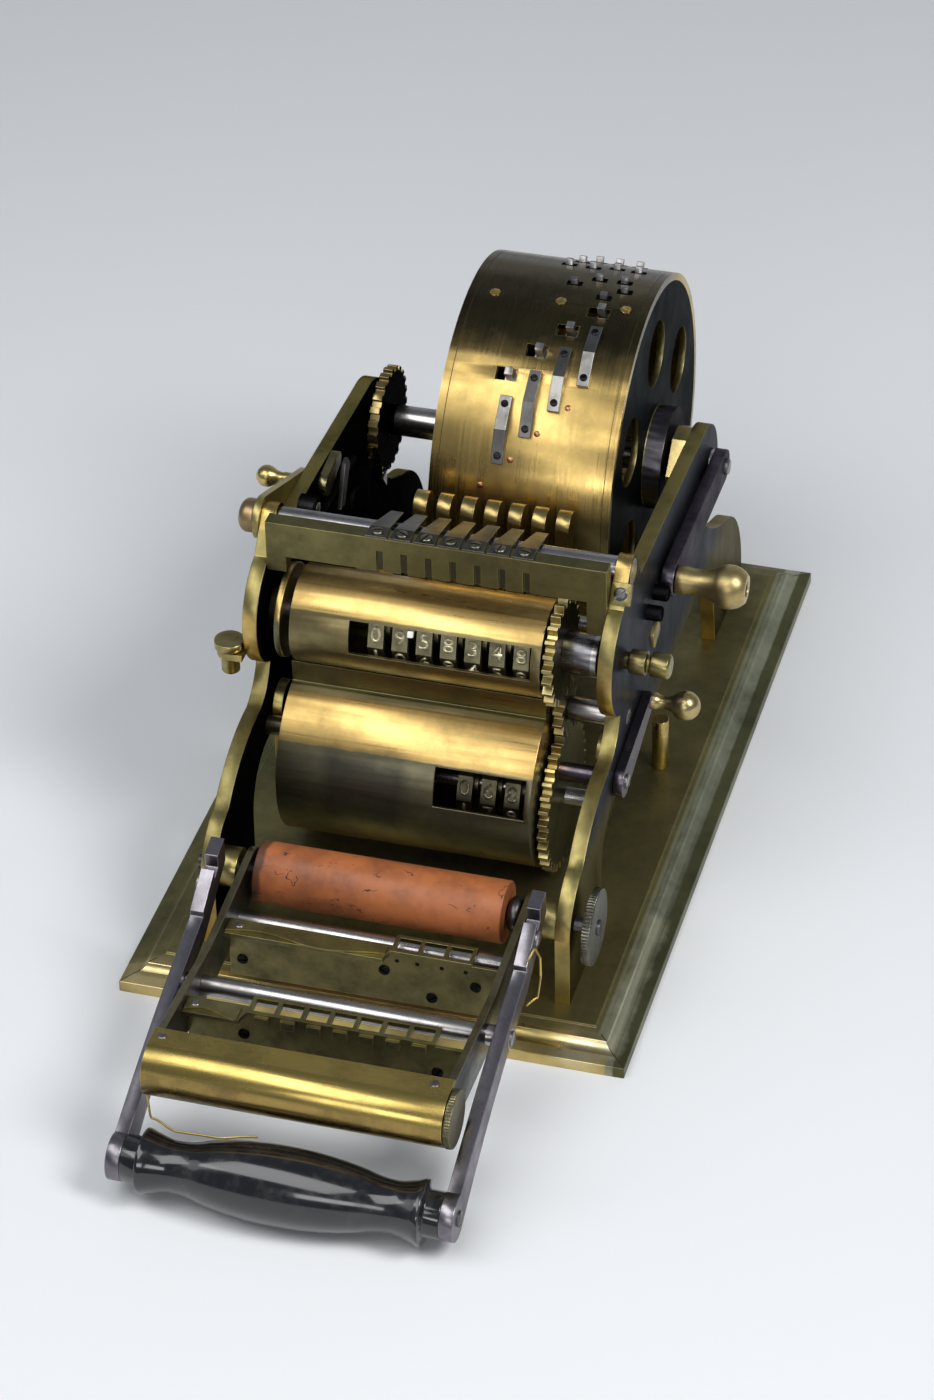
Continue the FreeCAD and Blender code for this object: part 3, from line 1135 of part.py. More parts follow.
def make_thumb_screw():
    """Upright thumb screw in a lug on the outside of the left frame."""
    round_end = s.thumb_radius + s.thumb_lug_wall
    frame_face = -number(FRAME_OUT)
    lug = flat("thumb_lug", "thumb_lug_bottom", "thumb_lug_height",
               [(frame_face, s.thumb_y + round_end), (s.thumb_x, s.thumb_y + round_end),
                via((s.thumb_x - round_end, s.thumb_y)), (s.thumb_x, s.thumb_y - round_end),
                (frame_face, s.thumb_y - round_end)])
    hole = upright("thumb_hole", "thumb_x", "thumb_y", "thumb_lug_bottom - 1",
                   f"{THUMB_LUG_TOP} + 1", "thumb_radius + running_clearance")
    node("thumb_bracket", cut("thumb_lug_bored", lug, hole))
    stem = upright("thumb_stem", "thumb_x", "thumb_y", "thumb_lug_bottom - thumb_drop",
                   f"{THUMB_LUG_TOP} + side_clearance", "thumb_radius")
    head = upright("thumb_head", "thumb_x", "thumb_y", f"{THUMB_LUG_TOP} + side_clearance",
                   f"{THUMB_LUG_TOP} + side_clearance + thumb_head_height",
                   "thumb_head_radius")
    node("thumbscrew", join("thumb_screw", stem, head))


# ---------------------------------------------------------------- the whole machine
make_base()
make_side_frames()
make_tie_rod()
make_cross_bar()
make_finger_springs()
make_covers()
make_figure_wheels()
make_gears()
make_register_shafts()
make_carry_levers()
make_drum()
make_bearing_block()
make_crank()
make_rubber_roller()
make_swing_plates()
make_swing_arms()
make_combs()
make_round_guard()
make_rocker_lever()
make_release_lever()
make_thumb_screw()
doc.recompute()

# ---------------------------------------------------------------- checks and export
for feature in doc.Objects:
    if {"Invalid", "Error"} & set(feature.State):
        raise RuntimeError(f"{feature.Name} failed: {feature.State}")
for feature in NODES:
    if feature.Shape.isNull() or not feature.Shape.isValid() or not feature.Shape.Solids:
        raise RuntimeError(f"{feature.Label} is not a valid solid")
os.makedirs("parts", exist_ok=True)
for feature in NODES:
    feature.Shape.exportStep(f"parts/{feature.Label}.step")
print(f"{len(NODES)} nodes written")
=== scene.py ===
"""Looks of a brass pinwheel calculator with a folding printing frame."""
import math

import bpy
import numpy as np
from mathutils import Matrix, Vector


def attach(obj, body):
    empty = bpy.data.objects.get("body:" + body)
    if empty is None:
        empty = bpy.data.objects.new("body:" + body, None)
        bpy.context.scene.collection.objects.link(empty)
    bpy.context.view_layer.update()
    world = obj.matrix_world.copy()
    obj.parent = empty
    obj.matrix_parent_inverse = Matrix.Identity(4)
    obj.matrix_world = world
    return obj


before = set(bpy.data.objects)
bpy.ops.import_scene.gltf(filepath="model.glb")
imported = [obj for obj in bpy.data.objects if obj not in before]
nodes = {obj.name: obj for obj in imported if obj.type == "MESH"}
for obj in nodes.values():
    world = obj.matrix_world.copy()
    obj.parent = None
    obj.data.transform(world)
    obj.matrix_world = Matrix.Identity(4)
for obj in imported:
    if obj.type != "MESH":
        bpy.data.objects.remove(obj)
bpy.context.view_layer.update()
MM = 0.001


# ------------------------------------------------------------------ camera, floor and lamps
# A long lens from the front right and above, a pale sweep of paper under the machine, one
# soft lamp on the right, a wide one overhead, and weak ones on the left and in front.
CAMERA_PLACE = Vector((0.4070, -1.3973, 1.1405))
CAMERA_AZIMUTH = math.radians(16.5044)
CAMERA_ELEVATION = math.radians(37.1202)
CAMERA_ROLL = math.radians(-1.2586)
CAMERA_LENS = 114.70

back = Vector((math.sin(CAMERA_AZIMUTH) * math.cos(CAMERA_ELEVATION),
               -math.cos(CAMERA_AZIMUTH) * math.cos(CAMERA_ELEVATION),
               math.sin(CAMERA_ELEVATION)))
level = Vector((math.cos(CAMERA_AZIMUTH), math.sin(CAMERA_AZIMUTH), 0))
upright = back.cross(level)
right = math.cos(CAMERA_ROLL) * level + math.sin(CAMERA_ROLL) * upright
up = -math.sin(CAMERA_ROLL) * level + math.cos(CAMERA_ROLL) * upright
camera_data = bpy.data.cameras.new("camera")
camera_data.sensor_width = 36
camera_data.lens = CAMERA_LENS
camera_data.clip_start = 0.05
camera_data.clip_end = 20
camera = bpy.data.objects.new("camera", camera_data)
turn = Matrix((right, up, back)).transposed()
camera.matrix_world = Matrix.Translation(CAMERA_PLACE) @ turn.to_4x4()
bpy.context.scene.collection.objects.link(camera)
bpy.context.scene.camera = camera
bpy.context.scene.view_settings.view_transform = "Standard"


def sweep_of_paper(width, depth, height, bend, rows=48):
    """A floor that turns up into a wall: a flat profile, a quarter circle, then straight up."""
    angle = np.linspace(0, math.pi / 2, rows)
    y = np.concatenate([[-depth], depth - bend + bend * np.sin(angle), [depth]])
    z = np.concatenate([[0], bend - bend * np.cos(angle), [height]])
    x = np.array([-width / 2, width / 2])
    return np.stack(np.broadcast_arrays(x[:, None], y[None, :], z[None, :]), axis=-1)


def grid_mesh(name, grids, close_u=False, close_v=False):
    """A mesh from one grid of points or a stack of like grids: each cell between two rows and
    two columns is a face, and a closed direction joins its last row or column to its first."""
    grids = np.asarray(grids, dtype=float)
    if grids.ndim == 3:
        grids = grids[None]
    copies, count_u, count_v = grids.shape[:3]
    u, v = np.meshgrid(np.arange(count_u if close_u else count_u - 1),
                       np.arange(count_v if close_v else count_v - 1), indexing="ij")
    next_u = (u + 1) % count_u
    next_v = (v + 1) % count_v
    cell = np.stack([u * count_v + v, next_u * count_v + v, next_u * count_v + next_v,
                     u * count_v + next_v], axis=-1).reshape(-1, 4)
    faces = (cell[None] + (np.arange(copies) * count_u * count_v)[:, None, None]).reshape(-1, 4)
    mesh = bpy.data.meshes.new(name)
    mesh.from_pydata(grids.reshape(-1, 3).tolist(), [], faces.tolist())
    return mesh


MERGE_DISTANCE = 0.000002


def add_object(name, mesh, material, sharp=30):
    """Link a mesh into the scene at the origin, close its seams, and keep edges sharp past an
    angle."""
    thing = bpy.data.objects.new(name, mesh)
    bpy.context.scene.collection.objects.link(thing)
    mesh.materials.append(material)
    mesh.shade_smooth()
    mesh.set_sharp_from_angle(angle=math.radians(sharp))
    seams = thing.modifiers.new("closed_seams", "WELD")
    seams.merge_threshold = MERGE_DISTANCE
    return thing


def new_material(name, colour, roughness, metallic=0.0):
    """A material with a Principled shader, returned with its tree and that shader."""
    material = bpy.data.materials.new(name)
    material.use_nodes = True
    shader = material.node_tree.nodes["Principled BSDF"]
    shader.inputs["Base Color"].default_value = (*colour, 1)
    shader.inputs["Roughness"].default_value = roughness
    shader.inputs["Metallic"].default_value = metallic
    return material, material.node_tree, shader


paper = new_material("paper", (0.78, 0.79, 0.80), 0.9)[0]
floor = add_object("floor", grid_mesh("floor", sweep_of_paper(6, 2.2, 3, 0.8)), paper)


def soft_lamp(name, place, target, size, power):
    """A square area lamp that faces a target."""
    data = bpy.data.lights.new(name, "AREA")
    data.shape = "RECTANGLE"
    data.size, data.size_y = size
    data.energy = power
    lamp = bpy.data.objects.new(name, data)
    lamp.location = place
    lamp.rotation_euler = (Vector(target) - Vector(place)).to_track_quat("-Z", "Y").to_euler()
    bpy.context.scene.collection.objects.link(lamp)


soft_lamp("key_lamp", (1.2, -0.5, 1.5), (0, 0, 0.08), (0.6, 0.8), 22)
soft_lamp("top_lamp", (-0.32, -0.70, 1.2), (0, -0.05, 0.1), (1.2, 0.75), 9)
soft_lamp("fill_lamp", (-1.5, -0.8, 1.2), (0, 0, 0.08), (0.9, 0.9), 3)
soft_lamp("front_lamp", (0.2, -2.0, 0.9), (0, -0.1, 0.05), (0.9, 0.4), 5)
world = bpy.data.worlds.new("room")
bpy.context.scene.world = world
world.use_nodes = True
world.node_tree.nodes["Background"].inputs["Color"].default_value = (0.55, 0.62, 0.72, 1)
world.node_tree.nodes["Background"].inputs["Strength"].default_value = 0.28


# ------------------------------------------------------------------ base
# A heavy brass board with a planed moulding on its four edges, mitred at the corners. Its top is
# dull olive and the front moulding is rubbed bright; the right moulding is painted a pale
# grey-green with a bright streak at its front, painted sheen.
def new_group(name, inputs, outputs):
    """A shader node group with named inputs (name, kind, default) and outputs (name, kind)."""
    group = bpy.data.node_groups.new(name, "ShaderNodeTree")
    for label, kind, default in inputs:
        socket = group.interface.new_socket(label, in_out="INPUT", socket_type=kind)
        if default is not None:
            socket.default_value = default
    for label, kind in outputs:
        group.interface.new_socket(label, in_out="OUTPUT", socket_type=kind)
    return group, group.nodes.new("NodeGroupInput"), group.nodes.new("NodeGroupOutput")


def step(tree, kind, operation, *inputs, clamp=False):
    """A Math or VectorMath node with its inputs: a socket is linked, a number is set."""
    node = tree.nodes.new(kind)
    node.operation = operation
    if clamp:
        node.use_clamp = True
    for index, value in enumerate(inputs):
        if isinstance(value, bpy.types.NodeSocket):
            tree.links.new(value, node.inputs[index])
        elif value is not None:
            node.inputs[index].default_value = value
    return node


def math_step(tree, operation, *inputs, clamp=False):
    """The value of a Math node."""
    return step(tree, "ShaderNodeMath", operation, *inputs, clamp=clamp).outputs[0]


def vector_step(tree, operation, *inputs):
    """The vector of a Vector Math node."""
    return step(tree, "ShaderNodeVectorMath", operation, *inputs).outputs["Vector"]


def noise_at(tree, point, scale, **values):
    """A noise texture read at a point, with its other values set by name."""
    node = tree.nodes.new("ShaderNodeTexNoise")
    tree.links.new(point, node.inputs["Vector"])
    if isinstance(scale, bpy.types.NodeSocket):
        tree.links.new(scale, node.inputs["Scale"])
    else:
        node.inputs["Scale"].default_value = scale
    for label, value in values.items():
        node.inputs[label].default_value = value
    return node


def mix_colours(tree, factor, first, second):
    """A mix of two colours, each a socket or a plain colour."""
    mix = tree.nodes.new("ShaderNodeMix")
    mix.data_type = "RGBA"
    tree.links.new(factor, mix.inputs[0])
    for slot, colour in ((6, first), (7, second)):
        if isinstance(colour, bpy.types.NodeSocket):
            tree.links.new(colour, mix.inputs[slot])
        else:
            mix.inputs[slot].default_value = (*colour, 1)
    return mix.outputs[2]


def add_bump(tree, shader, height, strength, distance):
    """Bend a shader's normal by a height."""
    node = tree.nodes.new("ShaderNodeBump")
    node.inputs["Strength"].default_value = strength
    node.inputs["Distance"].default_value = distance
    tree.links.new(height, node.inputs["Height"])
    tree.links.new(node.outputs["Normal"], shader.inputs["Normal"])


def make_tool_lines():
    """Tool lines: noise stretched along one axis, as a value round 0.5."""
    group, entry, leave = new_group(
        "tool_lines",
        [("Vector", "NodeSocketVector", None), ("Stretch", "NodeSocketVector", (20, 2000, 2000))],
        [("Lines", "NodeSocketFloat")])
    stretched = vector_step(group, "MULTIPLY", entry.outputs["Vector"], entry.outputs["Stretch"])
    noise = noise_at(group, stretched, 1.0, Detail=3.0)
    group.links.new(noise.outputs["Fac"], leave.inputs["Lines"])
    return group


TARNISH_CONTRAST = 3.6
FACING_STEEPNESS = 12.0


def make_tarnish():
    """Tarnish: soft noise cut to patches, mixing a clean and a dark colour."""
    group, entry, leave = new_group(
        "tarnish",
        [("Vector", "NodeSocketVector", None), ("Clean", "NodeSocketColor", (1, 1, 1, 1)),
         ("Dark", "NodeSocketColor", (0, 0, 0, 1)), ("Scale", "NodeSocketFloat", 30.0),
         ("Amount", "NodeSocketFloat", 0.5)],
        [("Color", "NodeSocketColor"), ("Mask", "NodeSocketFloat")])
    patches = noise_at(group, entry.outputs["Vector"], entry.outputs["Scale"], Detail=6.0,
                       Roughness=0.66)
    spread = math_step(group, "SUBTRACT", patches.outputs["Fac"], 0.5)
    mask = math_step(group, "MULTIPLY_ADD", spread, TARNISH_CONTRAST, entry.outputs["Amount"],
                     clamp=True)
    colour = mix_colours(group, mask, entry.outputs["Clean"], entry.outputs["Dark"])
    group.links.new(colour, leave.inputs["Color"])
    group.links.new(mask, leave.inputs["Mask"])
    return group


def make_patch():
    """A box with soft, slightly wandering edges, as a mask: how far a point is inside its lowest
    and highest corner, divided by the softness, for each axis, and the three multiplied."""
    group, entry, leave = new_group(
        "patch",
        [("Vector", "NodeSocketVector", None), ("Low", "NodeSocketVector", (-1, -1, -1)),
         ("High", "NodeSocketVector", (1, 1, 1)), ("Soft", "NodeSocketFloat", 0.001),
         ("Wander", "NodeSocketFloat", 0.0)],
        [("Mask", "NodeSocketFloat")])
    noise = noise_at(group, entry.outputs["Vector"], 90.0, Detail=4.0)
    drift = vector_step(group, "SUBTRACT", noise.outputs["Color"], (0.5, 0.5, 0.5))
    scaled = step(group, "ShaderNodeVectorMath", "SCALE", drift)
    group.links.new(entry.outputs["Wander"], scaled.inputs["Scale"])
    point = vector_step(group, "ADD", entry.outputs["Vector"], scaled.outputs["Vector"])
    half = []
    for inside in (vector_step(group, "SUBTRACT", point, entry.outputs["Low"]),
                   vector_step(group, "SUBTRACT", entry.outputs["High"], point)):
        soft = vector_step(group, "DIVIDE", inside, entry.outputs["Soft"])
        lifted = vector_step(group, "ADD", soft, (0.5, 0.5, 0.5))
        capped = vector_step(group, "MINIMUM", lifted, (1, 1, 1))
        half.append(vector_step(group, "MAXIMUM", capped, (0, 0, 0)))
    both = vector_step(group, "MULTIPLY", half[0], half[1])
    split = group.nodes.new("ShaderNodeSeparateXYZ")
    group.links.new(both, split.inputs[0])
    flat = math_step(group, "MULTIPLY", split.outputs[0], split.outputs[1])
    group.links.new(math_step(group, "MULTIPLY", flat, split.outputs[2]), leave.inputs["Mask"])
    return group


def make_facing():
    """Surfaces that face a direction, as a mask: the dot product past a limit, made steep."""
    group, entry, leave = new_group(
        "facing",
        [("Normal", "NodeSocketVector", None), ("Direction", "NodeSocketVector", (0, 0, 1)),
         ("Limit", "NodeSocketFloat", 0.7)],
        [("Mask", "NodeSocketFloat")])
    dot = step(group, "ShaderNodeVectorMath", "DOT_PRODUCT", entry.outputs["Normal"],
               entry.outputs["Direction"]).outputs["Value"]
    over = math_step(group, "SUBTRACT", dot, entry.outputs["Limit"])
    group.links.new(math_step(group, "MULTIPLY", over, FACING_STEEPNESS, clamp=True),
                    leave.inputs["Mask"])
    return group


def make_worn_edge():
    """Worn edges: where a rounded normal leaves the true one, as a mask."""
    group, entry, leave = new_group(
        "worn_edge", [("Radius", "NodeSocketFloat", 0.0004), ("Gain", "NodeSocketFloat", 5.0)],
        [("Mask", "NodeSocketFloat")])
    rounded = group.nodes.new("ShaderNodeBevel")
    rounded.samples = 3
    group.links.new(entry.outputs["Radius"], rounded.inputs["Radius"])
    true = group.nodes.new("ShaderNodeNewGeometry")
    dot = step(group, "ShaderNodeVectorMath", "DOT_PRODUCT", rounded.outputs["Normal"],
               true.outputs["Normal"]).outputs["Value"]
    turned = math_step(group, "SUBTRACT", 1.0, dot)
    group.links.new(math_step(group, "MULTIPLY", turned, entry.outputs["Gain"], clamp=True),
                    leave.inputs["Mask"])
    return group


TOOL_LINES = make_tool_lines()
TARNISH = make_tarnish()
PATCH = make_patch()
FACING = make_facing()
WORN_EDGE = make_worn_edge()


def place_group(tree, group, point=None, **values):
    """A group node in a material, with a socket on its first input and its values by name."""
    node = tree.nodes.new("ShaderNodeGroup")
    node.node_tree = group
    if point is not None:
        tree.links.new(point, node.inputs[0])
    for label, value in values.items():
        node.inputs[label].default_value = value
    return node


WIDE = 400
LINES_ACROSS = (20, 1500, 1500)
LINES_BACK = (900, 60, 900)
SHEET_LINES = (18, 900, 900)
TARNISH_ROUGHNESS = 0.12
LINE_DEPTH = 0.0002
FLAT_ANGLE = math.radians(0.6)
BEVEL_ANGLE = math.radians(32)


def area(clean, dark, rough=None, x=None, y=None, z=None, soft=1, wander=0, facing=None,
         limit=0.7, mask=None):
    """Where a metal has another finish: in a box of ranges in mm, whose edges are soft and
    wander, on faces that look in a direction past a limit, or under a mask of its own."""
    box = None
    if x or y or z:
        box = np.transpose([span or (-WIDE, WIDE) for span in (x, y, z)]) * MM
    return {"clean": clean, "dark": dark, "rough": rough, "box": box, "soft": soft * MM,
            "wander": wander * MM, "facing": facing, "limit": limit, "mask": mask}


def area_factor(tree, place, part):
    """An area's mask in a material: its own or its facing, times its box."""
    factor = part["mask"](tree, place.outputs["Object"]) if part["mask"] else None
    if part["facing"]:
        factor = place_group(tree, FACING, place.outputs["Normal"], Direction=part["facing"],
                             Limit=part["limit"]).outputs["Mask"]
    if part["box"] is not None:
        low, high = part["box"].tolist()
        inside = place_group(tree, PATCH, place.outputs["Object"], Low=low, High=high,
                             Soft=part["soft"], Wander=part["wander"]).outputs["Mask"]
        factor = inside if factor is None else math_step(tree, "MULTIPLY", factor, inside)
    return factor


def metal(name, clean, dark, roughness, stretch=(25, 1500, 1500), scale=60, amount=0.35,
          lines=0.12, bump=0.15, metallic=1.0, areas=(), edge=None, glance=1.0):
    """A worked metal. Areas lay other finishes over it one after another, tarnish mixes its
    clean and dark colour, worn edges come out brighter, tool lines move the roughness and give
    a fine bump, and glance is how much the metal still shines along its surface."""
    material, tree, shader = new_material(name, clean, roughness, metallic)
    shader.inputs["Specular Tint"].default_value = (glance, glance, glance, 1)
    place = tree.nodes.new("ShaderNodeTexCoord")
    patches = place_group(tree, TARNISH, place.outputs["Object"], Clean=(*clean, 1),
                          Dark=(*dark, 1), Scale=scale, Amount=amount)
    grain = place_group(tree, TOOL_LINES, place.outputs["Object"], Stretch=stretch)
    finish = {"Clean": clean, "Dark": dark}
    rough = roughness - lines / 2
    for part in areas:
        factor = area_factor(tree, place, part)
        for socket in finish:
            finish[socket] = mix_colours(tree, factor, finish[socket], part[socket.lower()])
            tree.links.new(finish[socket], patches.inputs[socket])
        if part["rough"]:
            change = math_step(tree, "SUBTRACT", part["rough"] - lines / 2, rough)
            rough = math_step(tree, "MULTIPLY_ADD", factor, change, rough)
    colour = patches.outputs["Color"]
    if edge:
        rubbed = place_group(tree, WORN_EDGE)
        colour = mix_colours(tree, rubbed.outputs["Mask"], colour, edge)
    tree.links.new(colour, shader.inputs["Base Color"])
    lined = math_step(tree, "MULTIPLY_ADD", grain.outputs["Lines"], lines, rough)
    worn = math_step(tree, "MULTIPLY_ADD", patches.outputs["Mask"], TARNISH_ROUGHNESS, lined)
    tree.links.new(worn, shader.inputs["Roughness"])
    add_bump(tree, shader, grain.outputs["Lines"], bump, LINE_DEPTH)
    return material


def dress(material, *names, edge=0.25):
    """Give CAD nodes a material and a small bevel on their sharp edges."""
    for name in names:
        piece = nodes[name]
        piece.data.materials.clear()
        piece.data.materials.append(material)
        weld = piece.modifiers.new("merge", "WELD")
        weld.merge_threshold = MERGE_DISTANCE
        flat = piece.modifiers.new("flat_faces", "DECIMATE")
        flat.decimate_type = "DISSOLVE"
        flat.angle_limit = FLAT_ANGLE
        if edge:
            bevel = piece.modifiers.new("edge", "BEVEL")
            bevel.width = edge * MM
            bevel.segments = 2
            bevel.limit_method = "ANGLE"
            bevel.angle_limit = BEVEL_ANGLE
            bevel.harden_normals = True


CORNER_LEAD = 0.066
MOULDING_START = 0.0895
MITRE_STEEPNESS = 4000.0
MITRE_DARKNESS = 1.6


def mitre_line(tree, point):
    """A fine line where two mouldings meet: how far |y| - |x| is from its value at a corner."""
    split = tree.nodes.new("ShaderNodeSeparateXYZ")
    tree.links.new(point, split.inputs[0])
    across = math_step(tree, "ABSOLUTE", split.outputs[0])
    along = math_step(tree, "ABSOLUTE", split.outputs[1])
    past = math_step(tree, "SUBTRACT", math_step(tree, "SUBTRACT", along, across), CORNER_LEAD)
    near = math_step(tree, "MULTIPLY_ADD", math_step(tree, "ABSOLUTE", past), -MITRE_STEEPNESS,
                     MITRE_DARKNESS, clamp=True)
    outer = math_step(tree, "GREATER_THAN", across, MOULDING_START)
    return math_step(tree, "MULTIPLY", near, outer)


base_metal = metal(
    "base_olive_brass", (0.29, 0.25, 0.105), (0.125, 0.115, 0.052), 0.44, stretch=(900, 30, 900),
    scale=24, amount=0.42, edge=(0.52, 0.42, 0.18),
    # The right moulding's pale grey-green and the bright streak at its front are painted sheen;
    # its outer face is darker.
    areas=[area((0.47, 0.475, 0.32), (0.18, 0.19, 0.12), rough=0.34, x=(90.5, WIDE), z=(-1, 20),
                soft=0.8, wander=2),
           area((0.17, 0.165, 0.075), (0.08, 0.08, 0.04), x=(97, WIDE), z=(-1, 20), soft=0.8,
                wander=1),
           area((0.42, 0.42, 0.26), (0.25, 0.25, 0.14), x=(88.6, 90.2), z=(9, 20), soft=0.7),
           area((0.68, 0.53, 0.2), (0.32, 0.25, 0.1), rough=0.28, x=(-WIDE, 94),
                y=(-WIDE, -156.5), z=(-1, 20), wander=3),
           area((0.88, 0.76, 0.48), (0.8, 0.66, 0.38), rough=0.26, x=(74, 90), y=(-WIDE, -157),
                z=(3, 20), soft=9, wander=5),
           area((0.84, 0.68, 0.34), (0.7, 0.55, 0.26), rough=0.26, x=(-101, -80), y=(-WIDE, -157),
                z=(3, 20), soft=9, wander=5),
           area((0.74, 0.7, 0.48), (0.46, 0.44, 0.29), rough=0.3, x=(91, 97), y=(-163, -80),
                z=(3, 20), soft=4, wander=6),
           area((0.05, 0.045, 0.025), (0.03, 0.028, 0.018), mask=mitre_line)])
dress(base_metal, "base_plate", edge=0.35)

# ------------------------------------------------------------------ side frames
# Two filed brass castings. Their front bands are brushed gold, their top edges olive. Their outer
# faces are painted blue-grey, a painted reflection, the right one dark olive lower down; their
# inner faces are painted nearly black, painted shade, as is the right one round its arch.
GOLD = (0.63, 0.445, 0.145)
GOLD_DARK = (0.27, 0.20, 0.075)
OLIVE = (0.36, 0.30, 0.11)
OLIVE_DARK = (0.15, 0.13, 0.055)
SLATE_REFLECTION = (0.085, 0.090, 0.105)
SLATE_REFLECTION_DARK = (0.040, 0.042, 0.050)
BLACK = (0.022, 0.021, 0.020)
BLACK_DARK = (0.010, 0.010, 0.010)
frame_areas = [area(OLIVE, OLIVE_DARK, rough=0.36, facing=(0, 0, 1), limit=0.35),
               area(GOLD, GOLD_DARK, rough=0.25, y=(-54, -37), z=(139, 160))]
left_metal = metal(
    "left_frame_brass", GOLD, GOLD_DARK, 0.32, stretch=(1400, 160, 60), scale=34, amount=0.32,
    lines=0.2, edge=(0.7, 0.55, 0.22), glance=0.25,
    areas=frame_areas + [
        # Inner face painted near black: painted shade.
        area(BLACK, BLACK_DARK, rough=0.4, facing=(1, 0, 0), limit=0.5),
        # Outer face painted blue-grey: a painted reflection.
        area(SLATE_REFLECTION, SLATE_REFLECTION_DARK, rough=0.36, facing=(-1, 0, 0), limit=0.5)])
right_metal = metal(
    "right_frame_brass", GOLD, GOLD_DARK, 0.32, stretch=(1400, 160, 60), scale=34, amount=0.3,
    lines=0.2, edge=(0.7, 0.55, 0.22), glance=0.5,
    areas=frame_areas + [
        # Lower rear part round the arch painted dark: painted shade.
        area(OLIVE_DARK, BLACK, rough=0.45, x=(60, WIDE), y=(10, 84), z=(11, 60), soft=2),
        area((0.4, 0.32, 0.115), (0.16, 0.13, 0.055), x=(60, WIDE), y=(-WIDE, -90), z=(11, 36),
             soft=9, wander=5),
        # Outer face painted dark olive, and blue-grey higher up as a painted reflection.
        area((0.2, 0.17, 0.07), OLIVE_DARK, facing=(1, 0, 0), limit=0.5),
        area(SLATE_REFLECTION, SLATE_REFLECTION_DARK, rough=0.34, x=(0, WIDE), y=(-150, WIDE), z=(64, WIDE), soft=14,
             wander=6, facing=(1, 0, 0), limit=0.5),
        # Inner face painted dark: painted shade.
        area(OLIVE_DARK, BLACK, rough=0.4, facing=(-1, 0, 0), limit=0.5)])
dress(left_metal, "left_side_frame", edge=0.4)
dress(right_metal, "right_side_frame", edge=0.4)

slate_steel = metal(
    "slate_steel", (0.13, 0.128, 0.125), (0.06, 0.058, 0.057), 0.32, scale=90,
    edge=(0.36, 0.35, 0.33), glance=0.6)
bright_brass = metal(
    "bright_brass", (0.66, 0.49, 0.175), (0.34, 0.25, 0.09), 0.24, amount=0.25, lines=0.08,
    bump=0.05)
dull_brass = metal("dull_brass", (0.46, 0.38, 0.145), (0.22, 0.18, 0.07), 0.34)
grey_steel = metal(
    "grey_steel", (0.36, 0.345, 0.34), (0.17, 0.16, 0.16), 0.3, scale=80, amount=0.3)
black_steel = metal(
    "black_steel", (0.024, 0.023, 0.025), (0.01, 0.01, 0.01), 0.36, scale=90, glance=0.2)


def unit(vectors):
    """Vectors as rows, each one divided by its length."""
    vectors = np.atleast_2d(vectors) * 1.0
    return vectors / np.linalg.norm(vectors, axis=1, keepdims=True)


def square_to(vectors, normals):
    """Unit vectors square to the normals, one for each or one for all."""
    vectors = np.atleast_2d(vectors) * 1.0
    return unit(vectors - (vectors * normals).sum(1, keepdims=True) * normals)


def carried(places, *amounts):
    """Points in metres: each place plus grids of amounts along directions of its own."""
    points = np.atleast_2d(places)[:, None, None] * 1.0
    for amount, directions in amounts:
        points = points + amount[..., None] * directions[:, None, None]
    return points * MM


def ring_about(first, second, angle):
    """Directions at some angles round a circle, for each pair of unit vectors."""
    return (np.cos(angle)[None, :, None] * first[:, None] +
            np.sin(angle)[None, :, None] * second[:, None])


def turned_about(places, axes, profile, around=24, wave=0.0, waves=0):
    """Turned pieces: a profile of (distance along the axis, radius) carried round each axis. A
    wave on the radius makes a knurled edge."""
    places, axes = np.atleast_2d(places) * 1.0, unit(axes)
    first = unit(np.cross(axes, np.where(np.abs(axes[:, :1]) < 0.9, [1.0, 0, 0], [0, 1.0, 0])))
    angle = np.linspace(0, 2 * math.pi, around, endpoint=False)
    ring = ring_about(first, np.cross(axes, first), angle)
    along, radius = np.array(profile, dtype=float).T
    reach = radius[None, :] + wave * np.cos(waves * angle)[:, None] * (radius > 0)[None, :]
    return (places[:, None, None] + along[None, None, :, None] * axes[:, None, None] +
            reach[None, :, :, None] * ring[:, :, None]) * MM, "rows"


def squared_pads(places, normals, along, length, width, height, corner=0.5, edge=0.25, sink=1.0):
    """Small blocks: a rounded rectangle carried up along the normal, drawn in at its top edge
    and closed at the middle of its top."""
    normals = unit(normals)
    along = square_to(along, normals)
    angle = (np.arange(16) + 0.5) * math.pi / 8
    turned_in = np.array([0, 0, edge * 0.3, edge, min(length, width) / 2])
    rise = np.array([-sink, height - edge, height - edge * 0.3, height, height])
    reach = []
    for size, wave in ((length, np.cos(angle)), (width, np.sin(angle))):
        straight = np.sign(wave) * (size / 2 - corner)
        point = straight + corner * wave
        shrink = np.maximum(1 - 2 * turned_in / size, 0)
        reach.append(point[:, None] * shrink[None, :])
    return carried(places, (reach[0], along), (reach[1], np.cross(normals, along)),
                   (rise[None], normals)), "rows"


CHORD_ANGLES = [90, 72, 54, 38, 24]
CHORD_SHARES = np.array([-1, -1, -0.92, -0.6, -0.2, 0.2, 0.6, 0.92, 1, 1])
SLOT_HALF = 0.15
SLOT_FLOOR = 0.3
CROWN = 0.45


